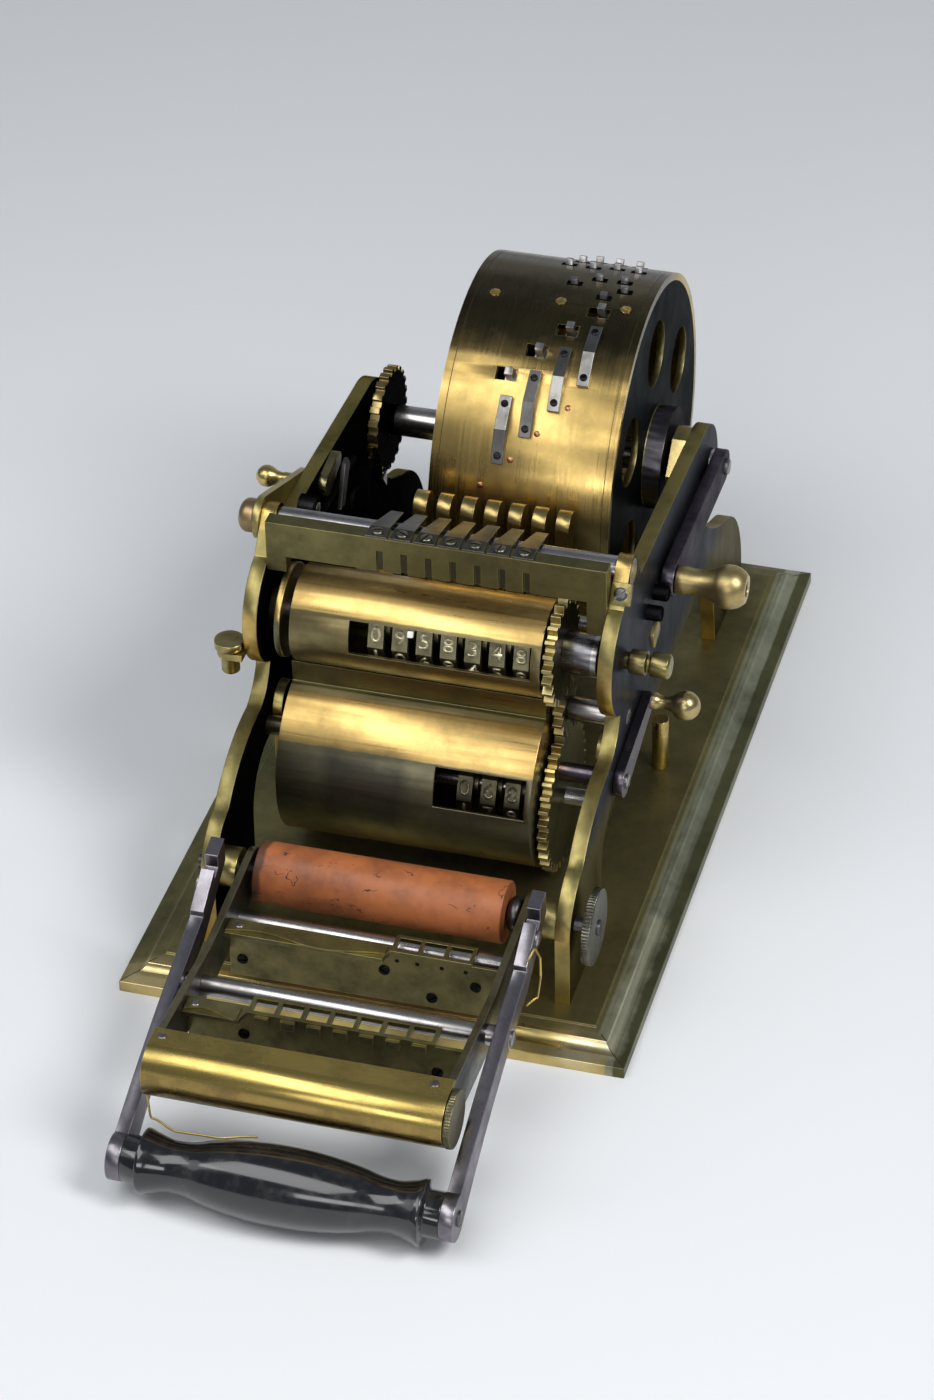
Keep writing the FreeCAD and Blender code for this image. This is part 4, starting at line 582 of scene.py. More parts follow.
def slotted_heads(places, normals, slots, radius, rise, flat=3, sink=0.6):
    """Slotted screw heads: chords across a disc, each a low arch from the seat over the head
    and down again. The chords at both sides of the slot are doubled, and the inner ones lie on
    the slot's floor."""
    normals = unit(normals)
    slots = square_to(slots, normals)
    outer = radius * np.sin(np.radians(CHORD_ANGLES))
    half = SLOT_HALF * radius
    offset = np.concatenate([-outer, [-half, -half, half, half], outer[::-1]])
    low = np.zeros(len(offset), dtype=bool)
    low[6:8] = True
    chord = np.sqrt(np.maximum(radius ** 2 - offset ** 2, 0))
    run = chord[:, None] * CHORD_SHARES
    far = np.minimum((offset[:, None] ** 2 + run ** 2) / radius ** 2, 1)
    top = rise * (1 - CROWN * far ** flat)
    top = np.where(low[:, None], rise * SLOT_FLOOR, top)
    top[:, 0] = top[:, -1] = -sink
    return carried(places, (run, slots), (offset[:, None], np.cross(slots, normals)),
                   (top, normals)), "open"


def fitting(name, shape, material, body, sharp=30):
    """A small fitting that rides on a body, from grids of points and the way they close."""
    grids, closed = shape
    mesh = grid_mesh(name, grids, closed == "rows", closed == "columns")
    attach(add_object(name, mesh, material, sharp), body)


def screws(name, places, normals, slots, radius, rise, material, body):
    """Slotted screw heads that ride on a body."""
    fitting(name, slotted_heads(places, normals, slots, radius, rise), material, body, 25)


clamp_metal = metal(
    "clamp_brass", (0.36, 0.31, 0.125), (0.17, 0.145, 0.06), 0.34, scale=110,
    edge=(0.66, 0.55, 0.26))
TO_RIGHT = [1, 0, 0]
TO_LEFT = [-1, 0, 0]
TO_FRONT = [0, -1, 0]
UPWARD = [0, 0, 1]
CLAMP = np.array([72.3, -57.0, 144.9])
CLAMP_NORMAL = np.array([0, -0.835, 0.549])
fitting("clamp_pad", squared_pads(
    CLAMP, CLAMP_NORMAL, TO_RIGHT, 7.8, 8.6, 2.0, 0.4), clamp_metal, "stand")
screws("clamp_screw", CLAMP + 1.9 * CLAMP_NORMAL, CLAMP_NORMAL, [1, 0.5, 0.76], 2.7, 0.9,
       slate_steel, "stand")
FRAME_SCREWS = [[74.0, -22.7, 112.7], [74.0, -11.8, 114.8]]
FRAME_SCREW_PROFILE = [(0, 3.2), (5.6, 3.2), (6.3, 2.5), (6.3, 0)]
FRAME_BOSS = [74.0, -11.0, 94.5]
fitting("frame_screws", turned_about(FRAME_SCREWS, TO_RIGHT, FRAME_SCREW_PROFILE), black_steel,
        "stand")
fitting("frame_boss", squared_pads(
    FRAME_BOSS, TO_RIGHT, [0, 1, 0.3], 10.5, 8.0, 1.4, 1.0, 0.5), dull_brass, "stand")

# ------------------------------------------------------------------ tie rod, cross bar and springs
# A steel rod through the frames' upper ends with a brass collar and a browned knob on the left,
# and a dull slotted bar in front of it that carries a row of flat springs on slotted screws.
bright_steel = metal(
    "bright_steel", (0.52, 0.495, 0.48), (0.25, 0.235, 0.225), 0.25, stretch=LINES_ACROSS,
    scale=50, amount=0.3)
rod_steel = metal(
    "rod_steel", (0.46, 0.45, 0.45), (0.22, 0.21, 0.21), 0.24, stretch=LINES_ACROSS, scale=50,
    amount=0.3,
    areas=[area(GOLD, GOLD_DARK, x=(-WIDE, -67.5), z=(0, WIDE), soft=0.3)])
dress(rod_steel, "tie_rod", edge=0.15)
copper_brown = metal("copper_brown", (0.4, 0.285, 0.15), (0.19, 0.13, 0.065), 0.36)
dress(copper_brown, "tie_rod_knob", edge=0.2)
bar_metal = metal(
    "bar_olive_brass", (0.2, 0.175, 0.07), (0.095, 0.085, 0.04), 0.36, stretch=(25, 900, 900),
    scale=40, edge=(0.42, 0.35, 0.15),
    areas=[area((0.085, 0.078, 0.045), (0.05, 0.046, 0.03), x=(-28.75, 39), y=(-63.4, -62.0),
                z=(130, 153.2), soft=0.2)])
dress(bar_metal, "cross_bar", edge=0.3)
spring_steel = metal(
    "spring_steel", (0.125, 0.118, 0.095), (0.055, 0.052, 0.042), 0.32, scale=70,
    edge=(0.34, 0.32, 0.26))
dress(spring_steel, "finger_springs", edge=0.12)
COLUMN_PITCH = 9.75
SPRING_SEATS = [(-23.5 + COLUMN_PITCH * index, -60.2, 159.6) for index in range(7)]
SPRING_SLOTS = [[1, 0.3, 0], [1, -0.5, 0], [0.4, 1, 0], [1, 0.8, 0], [1, 0, 0], [0.2, 1, 0],
                [1, -0.2, 0]]
spring_screw_steel = metal(
    "spring_screw_steel", (0.23, 0.215, 0.165), (0.1, 0.095, 0.07), 0.3, scale=90)
screws("spring_screws", SPRING_SEATS, UPWARD, SPRING_SLOTS, 2.3, 1.1, spring_screw_steel, "stand")

# ------------------------------------------------------------------ carry levers
# Round-headed levers filed from brass plate, one under each spring. They rock on a ground
# steel shaft behind the registers.
carry_metal = metal(
    "carry_brass", (0.5, 0.38, 0.145), (0.22, 0.17, 0.07), 0.28, stretch=(900, 120, 120),
    edge=(0.72, 0.58, 0.26))
dress(carry_metal, "carry_levers", edge=0.3)
dress(bright_steel, "carry_shaft", edge=0.1)

# ------------------------------------------------------------------ registers: covers and ring
# Rolled brass sheet covers. Each is brushed and gold along its top and dull grey-olive below a
# sharp line where hands and cloths have not reached. A plain ring closes the upper one.
DULL = (0.21, 0.19, 0.115)
DULL_DARK = (0.11, 0.10, 0.065)
upper_metal = metal(
    "upper_cover_brass", (0.72, 0.49, 0.17), (0.38, 0.265, 0.095), 0.3, stretch=SHEET_LINES,
    scale=40, amount=0.28, lines=0.26, edge=(0.45, 0.4, 0.25),
    areas=[area((0.26, 0.21, 0.095), (0.13, 0.11, 0.055), rough=0.36, z=(0, 126.3), soft=0.5,
                wander=1.0)])
lower_metal = metal(
    "lower_cover_brass", (0.71, 0.48, 0.165), (0.36, 0.255, 0.095), 0.3, stretch=SHEET_LINES,
    scale=34, amount=0.3, lines=0.26, edge=(0.42, 0.38, 0.24),
    areas=[area((0.2, 0.175, 0.075), (0.1, 0.09, 0.045), z=(86.3, 200), soft=0.5),
           area((0.66, 0.58, 0.34), (0.5, 0.42, 0.2), z=(85.6, 86.5), soft=0.3),
           area(DULL, DULL_DARK, rough=0.4, z=(0, 72.6), soft=0.6, wander=1.2),
           area((0.115, 0.108, 0.078), (0.065, 0.062, 0.048), x=(-40, -6), z=(42, 71), soft=7,
                wander=12),
           area((0.33, 0.22, 0.095), (0.17, 0.115, 0.05), z=(0, 33), soft=9, wander=4)])
dress(upper_metal, "upper_cover", edge=0.2)
dress(lower_metal, "lower_cover", edge=0.2)
ring_metal = metal(
    "ring_brass", GOLD, GOLD_DARK, 0.3, stretch=SHEET_LINES, scale=40, edge=(0.7, 0.56, 0.26),
    areas=[area(DULL, DULL_DARK, z=(0, 121), soft=3, wander=2)])
dress(ring_metal, "register_end_ring", edge=0.3)

# ------------------------------------------------------------------ registers: figure wheels
# Ten-sided wheels of dark olive brass. Every flat carries a raised figure, cut from the same
# metal and rubbed light, and the figures run on by one from flat to flat.
wheel_metal = metal(
    "wheel_brass", (0.37, 0.33, 0.19), (0.15, 0.135, 0.08), 0.36, scale=160,
    edge=(0.66, 0.6, 0.36))
dress(wheel_metal, *[n for n in nodes if n.startswith(("upper_wheel_", "lower_wheel_"))],
      edge=0.25)
figure_metal = metal(
    "figure_brass", (0.74, 0.67, 0.44), (0.34, 0.31, 0.2), 0.36, scale=220, metallic=0.8)


def raised_figures(height, rise):
    """The ten figures as raised outlines: text widened by a small offset and extruded, made a
    mesh.
    """
    shapes = []
    for figure in "0123456789":
        curve = bpy.data.curves.new("figure", "FONT")
        curve.body = figure
        curve.align_x = "CENTER"
        curve.align_y = "CENTER"
        curve.size = height
        curve.extrude = rise
        curve.resolution_u = 3
        curve.offset = 0.00012
        text = bpy.data.objects.new("figure", curve)
        mesh = bpy.data.meshes.new_from_object(text)
        points = np.empty(len(mesh.vertices) * 3)
        mesh.vertices.foreach_get("co", points)
        shapes.append((points.reshape(-1, 3), [list(face.vertices) for face in mesh.polygons]))
        bpy.data.objects.remove(text)
        bpy.data.curves.remove(curve)
        bpy.data.meshes.remove(mesh)
    return shapes


FIGURES = raised_figures(height=0.0092, rise=0.00022)
FLAT_DISTANCE = 15.60
REGISTER_Y = -57.2
UPPER_Z = 114.014
LOWER_Z = 42.975


def figured_wheel(name, body, x, z, shown_angle, shown):
    """Figures on a wheel's flats: each mesh is turned so that its base line runs along the
    wheel's axis and its face looks outwards, and all ten are joined."""
    points, faces, count = [], [], 0
    for flat in range(10):
        angle = math.radians(shown_angle + 36 * flat)
        outward = np.array([0, math.cos(angle), math.sin(angle)])
        upward = np.array([0, math.sin(angle), -math.cos(angle)])
        shape, cells = FIGURES[(shown + flat) % 10]
        middle = np.array([x, REGISTER_Y, z]) * MM + outward * FLAT_DISTANCE * MM
        points.append(middle + shape[:, :1] * [1, 0, 0] + shape[:, 1:2] * upward +
                      shape[:, 2:] * outward)
        faces += [[index + count for index in cell] for cell in cells]
        count += len(shape)
    mesh = bpy.data.meshes.new(name)
    mesh.from_pydata(np.concatenate(points).tolist(), [], faces)
    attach(add_object(name, mesh, figure_metal), body)


for row, first, z, shown_angle, figures in (("upper", -22, UPPER_Z, 162.2, (0, 9, 5, 8, 3, 4, 8)),
                                           ("lower", 12.3, LOWER_Z, 155.0, (0, 6, 8))):
    for index, shown in enumerate(figures):
        figured_wheel(f"{row}_figures_{index + 1}", f"{row}_figure_{index + 1}",
                      first + COLUMN_PITCH * index, z, shown_angle, shown)
enamel, enamel_tree, enamel_shader = new_material("white_enamel", (0.82, 0.80, 0.74), 0.35)
fleck_place = enamel_tree.nodes.new("ShaderNodeTexCoord")
fleck = noise_at(enamel_tree, fleck_place.outputs["Object"], 1400)
enamel_tree.links.new(math_step(enamel_tree, "MULTIPLY_ADD", fleck.outputs["Fac"], 0.3, 0.2),
                      enamel_shader.inputs["Roughness"])
MARK_ANGLE = math.radians(151)
MARK_DISTANCE = 18.9
mark_out = np.array([0, math.cos(MARK_ANGLE), math.sin(MARK_ANGLE)])
mark_place = np.array([-7.4, REGISTER_Y, UPPER_Z]) + MARK_DISTANCE * mark_out
fitting("decimal_mark", squared_pads(
    mark_place, mark_out, TO_RIGHT, 2.2, 2.6, 0.9, 0.4, 0.2, 0.9), enamel, "stand")

# ------------------------------------------------------------------ register gears and shafts
# Brass gears whose side faces are painted dark olive as painted shade, so the teeth stand out
# bright, on steel shafts; the upper shaft has two turned brass collars outside the right frame.
gear_metal = metal(
    "gear_brass", (0.56, 0.46, 0.2), (0.28, 0.23, 0.1), 0.3, amount=0.25,
    edge=(0.8, 0.7, 0.4),
    # Side faces painted dark olive: painted shade.
    areas=[area((0.17, 0.15, 0.065), (0.07, 0.065, 0.03), facing=(1, 0, 0), limit=0.8),
           area((0.2, 0.17, 0.07), (0.08, 0.075, 0.035), facing=(-1, 0, 0), limit=0.8)])
dress(gear_metal, "upper_gear", "lower_gear", "idler_gear", edge=0.15)
shaft_areas = [area((0.34, 0.28, 0.115), (0.155, 0.13, 0.055), rough=0.28, x=(74.0, WIDE),
                    z=(0, WIDE), soft=0.2),
               area((0.24, 0.23, 0.24), (0.1, 0.1, 0.105), x=(50.5, 62), z=(0, WIDE), soft=0.4,
                    wander=1)]
register_metal = metal(
    "register_shaft_steel", (0.5, 0.475, 0.46), (0.23, 0.22, 0.21), 0.24,
    stretch=LINES_ACROSS, scale=50, amount=0.3, areas=shaft_areas)
dress(register_metal, "register_shaft", edge=0.2)
dress(bright_steel, "lower_shaft", "idler_stud", edge=0.15)

# ------------------------------------------------------------------ drum
# A drum of rolled and brushed brass sheet between two discs. Its sheet ends 3 mm inside the
# discs' rims in a fine seam, and it carries screws, studs, curved bars and sliding tabs.
SEAM_HALF = 0.16
drum_seams = [area((0.1, 0.085, 0.04), (0.06, 0.05, 0.03), rough=0.5,
                   x=(x - SEAM_HALF, x + SEAM_HALF), z=(0, WIDE), soft=0.12)
              for x in (-22.0, 46.4)]
drum_metal = metal(
    "drum_brass", (0.66, 0.455, 0.155), (0.32, 0.23, 0.08), 0.27, stretch=(900, 14, 14), scale=22,
    amount=0.28, lines=0.22, bump=0.12, edge=(0.75, 0.6, 0.28),
    # The drum's top is painted near black, a painted reflection, and its lower part a duller
    # olive, painted shade.
    areas=[area((0.115, 0.09, 0.042), (0.04, 0.033, 0.02), rough=0.22, z=(176, WIDE), soft=9,
                wander=7),
           area((0.37, 0.285, 0.105), (0.19, 0.15, 0.06), z=(0, 128), soft=16, wander=6)]
    + drum_seams)
dress(drum_metal, "drum_shell", edge=0.4)
disc_metal = metal(
    "drum_disc_brass", (0.3, 0.245, 0.1), (0.14, 0.12, 0.055), 0.34, stretch=(900, 120, 120),
    scale=30, edge=(0.27, 0.24, 0.16), glance=0.3,
    # Outer faces painted a dark blue-grey: a painted reflection.
    areas=[area((0.075, 0.08, 0.08), (0.035, 0.038, 0.042), rough=0.36, facing=(1, 0, 0)),
           area((0.095, 0.088, 0.098), (0.045, 0.042, 0.047), rough=0.3, x=(50.1, WIDE),
                y=(64, 110), z=(88, 134), soft=0.3)])
dress(disc_metal, "left_drum_disc", "right_drum_disc", edge=0.35)
drum_shaft_metal = metal(
    "drum_shaft_steel", (0.56, 0.53, 0.5), (0.26, 0.245, 0.235), 0.22, stretch=LINES_ACROSS,
    scale=50, amount=0.25,
    areas=[area(BLACK, BLACK_DARK, x=(-WIDE, -60.0), z=(0, WIDE), soft=0.4)])
dress(drum_shaft_metal, "drum_shaft", edge=0.15)
DRUM = np.array([0, 86.6, 110.7])
DRUM_RADIUS = 75.8


def on_drum(x, degrees):
    """Points on the drum and their outward directions, by distance along it and angle."""
    angle = np.radians(degrees)
    outward = np.stack([angle * 0, np.cos(angle), np.sin(angle)], axis=-1)
    return DRUM + np.outer(x, TO_RIGHT) + DRUM_RADIUS * outward, outward


drum_screws, screw_out = on_drum(np.array([-14.2, 13.3, 40.1]), np.full(3, 97.3))
DRUM_SLOTS = [[1, 0.4, 0], [0.3, 1, 0], [1, -0.6, 0]]
screws("drum_screws", drum_screws, screw_out, DRUM_SLOTS, 2.2, 0.5, bright_brass, "drum")
studs, stud_out = on_drum(np.array([27.5, -4, 16.8, 7.3]), np.array([134.6, 161.4, 143.6, 152.5]))
copper = metal("copper_rivet", (0.5, 0.25, 0.12), (0.24, 0.11, 0.06), 0.28, scale=200)
STUD_PROFILE = [(-0.4, 1.25), (0.25, 1.25), (0.5, 0.8), (0.55, 0)]
fitting("drum_studs", turned_about(studs, stud_out, STUD_PROFILE, 16), copper, "drum")
TAB_PLACES = np.array([(11.8, 65.8), (17.2, 60), (25.7, 60), (34.2, 60), (15.4, 86.8),
                       (24.4, 82.5), (34.8, 82.3), (29.6, 92.9), (36.7, 88.2), (8.2, 72),
                       (18.4, 72.5), (27.8, 70.4), (37.0, 71.0)])
tabs, tab_out = on_drum(TAB_PLACES[:, 0], TAB_PLACES[:, 1])
fitting("drum_back_tabs", squared_pads(
    tabs, tab_out, TO_RIGHT, 3.0, 2.2, 2.6, 0.3, 0.25), grey_steel, "drum")
fitting("drum_back_slots", squared_pads(
    tabs - 0.95 * tab_out, tab_out, TO_RIGHT, 6.4, 3.4, 1.05, 0.4, 0.05), black_steel, "drum")

# ------------------------------------------------------------------ cam bars and setting levers
# Curved steel bars on the drum, each with a slotted screw at both ends, and in front of each a
# small steel tab in a dark slot.
cam_metal = metal(
    "cam_steel", (0.25, 0.24, 0.225), (0.11, 0.105, 0.098), 0.3, stretch=(1500, 150, 150),
    edge=(0.55, 0.53, 0.5))
dress(cam_metal, "cam_bars", edge=0.35)
tab_metal = metal("tab_steel", (0.6, 0.585, 0.56), (0.26, 0.25, 0.24), 0.26, scale=120)
dress(tab_metal, *[f"setting_lever_{k}" for k in range(1, 5)], edge=0.3)
FIRST_BAR_ANGLE = 154.1
BAR_STEP = 8.75
SCREW_ANGLES = [2.6, 17.9]
FIRST_BAR_X = 2.4
BAR_PITCH = 9.8
BAR_RISE = 2.4 + 2.0 * 2.6 / 10.25 - 0.1
BAR_LEAN = 0.145
bar_index = np.repeat(np.arange(4), 2)
bar_seats, bar_out = on_drum(FIRST_BAR_X + BAR_PITCH * bar_index,
                             FIRST_BAR_ANGLE - BAR_STEP * bar_index - np.tile(SCREW_ANGLES, 4))
bar_side = np.stack([bar_index * 0.0, -bar_out[:, 2], bar_out[:, 1]], axis=1)
bar_normal = bar_out - BAR_LEAN * np.tile([1.0, -1.0], 4)[:, None] * bar_side
screws("cam_screws", bar_seats + BAR_RISE * bar_out, bar_normal, [1, 0.5, 0.2], 1.5, 0.55,
       black_steel, "drum")

# ------------------------------------------------------------------ latch wheel and its arm
# A steel wheel with square teeth on the drum shaft, its teeth brass-coloured and its side faces
# painted a dark slate as painted shade, over a black arm with a ground tip, beside a black release
# mechanism on the left frame.
latch_metal = metal(
    "latch_steel", (0.46, 0.36, 0.15), (0.2, 0.16, 0.07), 0.28, scale=90, edge=(0.72, 0.6, 0.32),
    glance=0.25,
    # Side faces painted dark blue-grey: painted shade.
    areas=[area((0.035, 0.037, 0.046), (0.015, 0.016, 0.02), rough=0.36, facing=(1, 0, 0)),
           area((0.035, 0.037, 0.046), (0.015, 0.016, 0.02), facing=(-1, 0, 0))])
dress(latch_metal, "latch_wheel", edge=0.25)


def cut_plate(left, right, outline, edge=0.3):
    """A plate across X: an outline in Y and Z carried from the left face to the right one, drawn
    in a little at both faces and closed at its middle."""
    outline = np.array(outline[::-1], dtype=float)
    middle = outline.mean(axis=0)
    shrink = 1 - edge / np.linalg.norm(outline - middle, axis=1).mean()
    levels = np.array([(left, 0), (left, shrink), (left + edge, 1), (right - edge, 1),
                       (right, shrink), (right, 0)])
    flat = middle + (outline - middle)[:, None] * levels[None, :, 1, None]
    x = np.broadcast_to(levels[None, :, 0, None], (*flat.shape[:2], 1))
    return np.concatenate([x, flat], axis=2) * MM, "rows"


LATCH_ARM = [(57, 116), (62, 96), (66, 92.5), (71, 92), (76, 88), (91, 80), (86, 62), (76, 58),
             (64, 70), (55, 88), (53, 104)]
LATCH_TIP = [(61.5, 97.5), (67, 98.5), (66.5, 91)]
RELEASE_BLOCK = [(-12, 126), (38, 124), (40, 112), (26, 104), (-6, 108), (-14, 116)]
RELEASE_LEVER = [(9, 117), (14, 116), (23, 131), (21, 134.5), (17, 134)]
PIVOTS = [[-68.2, -20, 137], [-68.2, 30, 108]]
PIVOT_PROFILE = [(0, 5.2), (6.5, 5.2), (7.2, 4.4), (7.2, 0)]
fitting("latch_arm", cut_plate(-62.0, -60.2, LATCH_ARM), black_steel, "stand")
fitting("latch_tip", cut_plate(-60.4, -59.4, LATCH_TIP, 0.2), bright_steel, "stand")
fitting("release_block", cut_plate(-68.3, -62.5, RELEASE_BLOCK, 0.8), black_steel, "stand")
fitting("release_pivots", turned_about(PIVOTS, TO_RIGHT, PIVOT_PROFILE, 28), black_steel, "stand")
RELEASE_CAP = [-61.1, -20, 137]
screws("release_caps", RELEASE_CAP, TO_RIGHT, [0, 1, 0.4], 2.6, 0.8, grey_steel, "stand")
fitting("release_lever", cut_plate(-62.6, -60.8, RELEASE_LEVER), slate_steel, "stand")

# ------------------------------------------------------------------ bearing and crank
# A brass bearing block on the right frame, and a dark steel crank with a turned brass handle on
# a plain stud. The drum shaft's turned end shows in the crank's boss.
bearing_metal = metal(
    "bearing_brass", (0.52, 0.42, 0.17), (0.24, 0.2, 0.085), 0.3,
    edge=(0.82, 0.68, 0.34),
    # Faces that look forward and up are painted bright gold: a painted highlight.
    areas=[area((0.84, 0.68, 0.3), (0.55, 0.43, 0.18), rough=0.22, facing=(0, -1, 0.3),
                limit=0.6)])
dress(bearing_metal, "bearing_block", edge=0.4)
crank_metal = metal(
    "crank_steel", (0.15, 0.132, 0.155), (0.068, 0.06, 0.07), 0.28, stretch=LINES_BACK,
    amount=0.45, edge=(0.36, 0.32, 0.36), glance=0.4,
    # Top faces painted lighter: painted light.
    areas=[area((0.185, 0.16, 0.19), (0.08, 0.07, 0.085), facing=(0, 0, 1), limit=0.6)])
dress(crank_metal, "crank_arm", edge=0.3)
handle_brass = metal(
    "crank_handle_brass", (0.6, 0.465, 0.205), (0.34, 0.26, 0.115), 0.31, stretch=(20, 900, 900),
    scale=70, amount=0.4, lines=0.1, bump=0.05)
dress(handle_brass, "crank_handle", edge=0.15)
SHAFT_END = DRUM + [79.6, 0, 0]
SHAFT_END_PROFILE = [(0, 3.4), (1.8, 3.4), (2.3, 2.8), (2.3, 0)]
fitting("crank_stud_end", turned_about(SHAFT_END, TO_RIGHT, SHAFT_END_PROFILE), grey_steel, "drum")

# ------------------------------------------------------------------ rubber roller
# A cast rubber sleeve, brown-red and cracked with age, torn at its left end, on a steel shaft in
# brass bushes; a knurled steel disc outside the right frame turns it.
CRACK_WIDTH = 0.012
CRACK_LEVEL = 0.585
TORN_DARKNESS = 0.8
rubber, rubber_tree, rubber_shader = new_material("red_rubber", (0.36, 0.10, 0.03), 0.55)


def rubber_finish(tree, shader):
    """Brown-red rubber: blotches in two reds, dark cracks where a stretched cell pattern is
    near its cell edges, one long crack line, and a dark torn left end."""
    place = tree.nodes.new("ShaderNodeTexCoord")
    blotch = place_group(tree, TARNISH, place.outputs["Object"], Clean=(0.40, 0.125, 0.038, 1),
                         Dark=(0.20, 0.062, 0.024, 1), Scale=60.0, Amount=0.30)
    stretched = vector_step(tree, "MULTIPLY", place.outputs["Object"], (35, 120, 120))
    wobble = noise_at(tree, place.outputs["Object"], 160)
    moved = vector_step(tree, "ADD", stretched, wobble.outputs["Color"])
    cells = tree.nodes.new("ShaderNodeTexVoronoi")
    cells.feature = "DISTANCE_TO_EDGE"
    cells.inputs["Scale"].default_value = 1.0
    tree.links.new(moved, cells.inputs["Vector"])
    thin = math_step(tree, "LESS_THAN", cells.outputs["Distance"], CRACK_WIDTH)
    broken = math_step(tree, "GREATER_THAN", wobble.outputs["Fac"], CRACK_LEVEL)
    crack = math_step(tree, "MULTIPLY", thin, broken)
    line = place_group(tree, PATCH, place.outputs["Object"], Low=(-0.050, -0.15, 0.0338),
                       High=(0.047, -0.135, 0.0347), Soft=0.0003, Wander=0.004)
    torn = place_group(tree, PATCH, place.outputs["Object"], Low=(-0.060, -0.2, 0),
                       High=(-0.0488, -0.1, 0.1), Soft=0.0015, Wander=0.006)
    dark = math_step(tree, "MAXIMUM", crack, line.outputs["Mask"])
    torn_dark = math_step(tree, "MULTIPLY", torn.outputs["Mask"], TORN_DARKNESS)
    darker = math_step(tree, "MAXIMUM", dark, torn_dark)
    colour = mix_colours(tree, darker, blotch.outputs["Color"], (0.035, 0.018, 0.012))
    tree.links.new(colour, shader.inputs["Base Color"])
    tree.links.new(math_step(tree, "MULTIPLY_ADD", wobble.outputs["Fac"], 0.3, 0.36),
                   shader.inputs["Roughness"])
    depth = math_step(tree, "MULTIPLY_ADD", dark, -1.0, wobble.outputs["Fac"])
    add_bump(tree, shader, depth, 0.5, 0.0003)


rubber_finish(rubber_tree, rubber_shader)
dress(rubber, "platen_roller", edge=0.6)
dress(slate_steel, "roller_shaft", edge=0.3)
bush_metal = metal("bush_brass", (0.4, 0.33, 0.13), (0.18, 0.15, 0.065), 0.3, scale=90)
dress(bush_metal, "roller_bushes", edge=0.25)
knob_metal = metal(
    "knob_steel", (0.125, 0.12, 0.095), (0.055, 0.052, 0.042), 0.32, stretch=(900, 90, 90),
    edge=(0.32, 0.31, 0.25))
dress(knob_metal, "roller_knob", edge=0.3)
ROLLER_KNOB = [79.5, -134.6, 44.5]
ROLLER_KNOB_RIM = [(0.3, 14.0), (0.3, 14.9), (0.7, 15.05), (2.9, 15.05), (3.3, 14.9), (3.3, 14.0)]
fitting("roller_knob_knurling", turned_about(
    ROLLER_KNOB, TO_RIGHT, ROLLER_KNOB_RIM, 288, wave=0.14, waves=72), knob_metal, "platen", 20)

# ------------------------------------------------------------------ swing frame
# A folding frame of grey steel arms, side plates and rods that swings about the roller's axis.
# Slotted screws show on the outer faces of its arms.
arm_steel = metal(
    "arm_steel", (0.235, 0.21, 0.24), (0.105, 0.095, 0.11), 0.3, stretch=LINES_BACK, scale=50,
    edge=(0.55, 0.52, 0.54),
    # Top faces painted lighter: painted light.
    areas=[area((0.31, 0.29, 0.315), (0.15, 0.14, 0.155), rough=0.28, facing=(0, 0, 1),
                limit=0.55)])
dress(arm_steel, "left_swing_arm", "right_swing_arm", edge=0.4)
plate_metal = metal(
    "side_plate_steel", (0.17, 0.175, 0.165), (0.08, 0.082, 0.08), 0.32, stretch=LINES_BACK,
    scale=50, edge=(0.5, 0.48, 0.42),
    # Top faces painted a lighter olive: painted light.
    areas=[area((0.3, 0.27, 0.16), (0.15, 0.13, 0.08), facing=(0, 0, 1), limit=0.6)])
dress(plate_metal, "swing_side_plates", edge=0.3)
dress(bright_steel, "swing_rods", edge=0.15)
ARM_SCREWS = np.array([(66.4, -163, 58.5), (66.4, -199.6, 40.0), (66.4, -273.0, 16.0)])
screws("arm_screws", np.concatenate([ARM_SCREWS, ARM_SCREWS * [-1, 1, 1]]),
       [TO_RIGHT] * 3 + [TO_LEFT] * 3, [0, 1, 0.7], 3.1, 1.3, grey_steel, "swing")

# ------------------------------------------------------------------ comb plates
# Two upright brass sheets between the side plates with slotted screws, each under a flat ladder
# of windows and a separate wavy strip; the brass has gone dull olive.
comb_metal = metal(
    "comb_brass", (0.24, 0.205, 0.085), (0.1, 0.09, 0.042), 0.36, stretch=(30, 900, 900),
    edge=(0.44, 0.38, 0.18),
    # Top faces painted lighter: painted light.
    areas=[area((0.34, 0.295, 0.135), (0.16, 0.14, 0.065), rough=0.32, facing=(0, 0, 1),
                limit=0.6)])
dress(comb_metal, "short_comb_plate", "long_comb_plate", edge=0.15)
COMB_SCREWS = np.array([(-49.3, -168.4, 28.3), (7.7, -168.4, 35.0), (43.8, -168.4, 34.0),
                        (26.3, -168.4, 25.0), (-32.3, -217.8, 36.0), (42.9, -217.8, 33.6)])
COMB_SLOTS = [[1, 0, 0.2], [1, 0, -0.7], [0.3, 0, 1], [1, 0, 0.6], [1, 0, -0.2], [0.8, 0, 1]]
screws("comb_screws", COMB_SCREWS, TO_FRONT, COMB_SLOTS, 2.2, 0.8, black_steel, "swing")
COMB_NOTCHES = [(x, -168.4, 40.6) for x in (12.9, 20.9, 30.6, 40.0)]
NOTCH_PROFILE = [(-0.3, 0.9), (0.06, 0.9), (0.08, 0)]
fitting("comb_notches", turned_about(COMB_NOTCHES, TO_FRONT, NOTCH_PROFILE, 12), black_steel,
        "swing")


STRIP_THICKNESS = 0.7
LONG_WAVE = 1.3
SHORT_WAVE = 0.7
SHORT_WAVE_RATE = 5.1


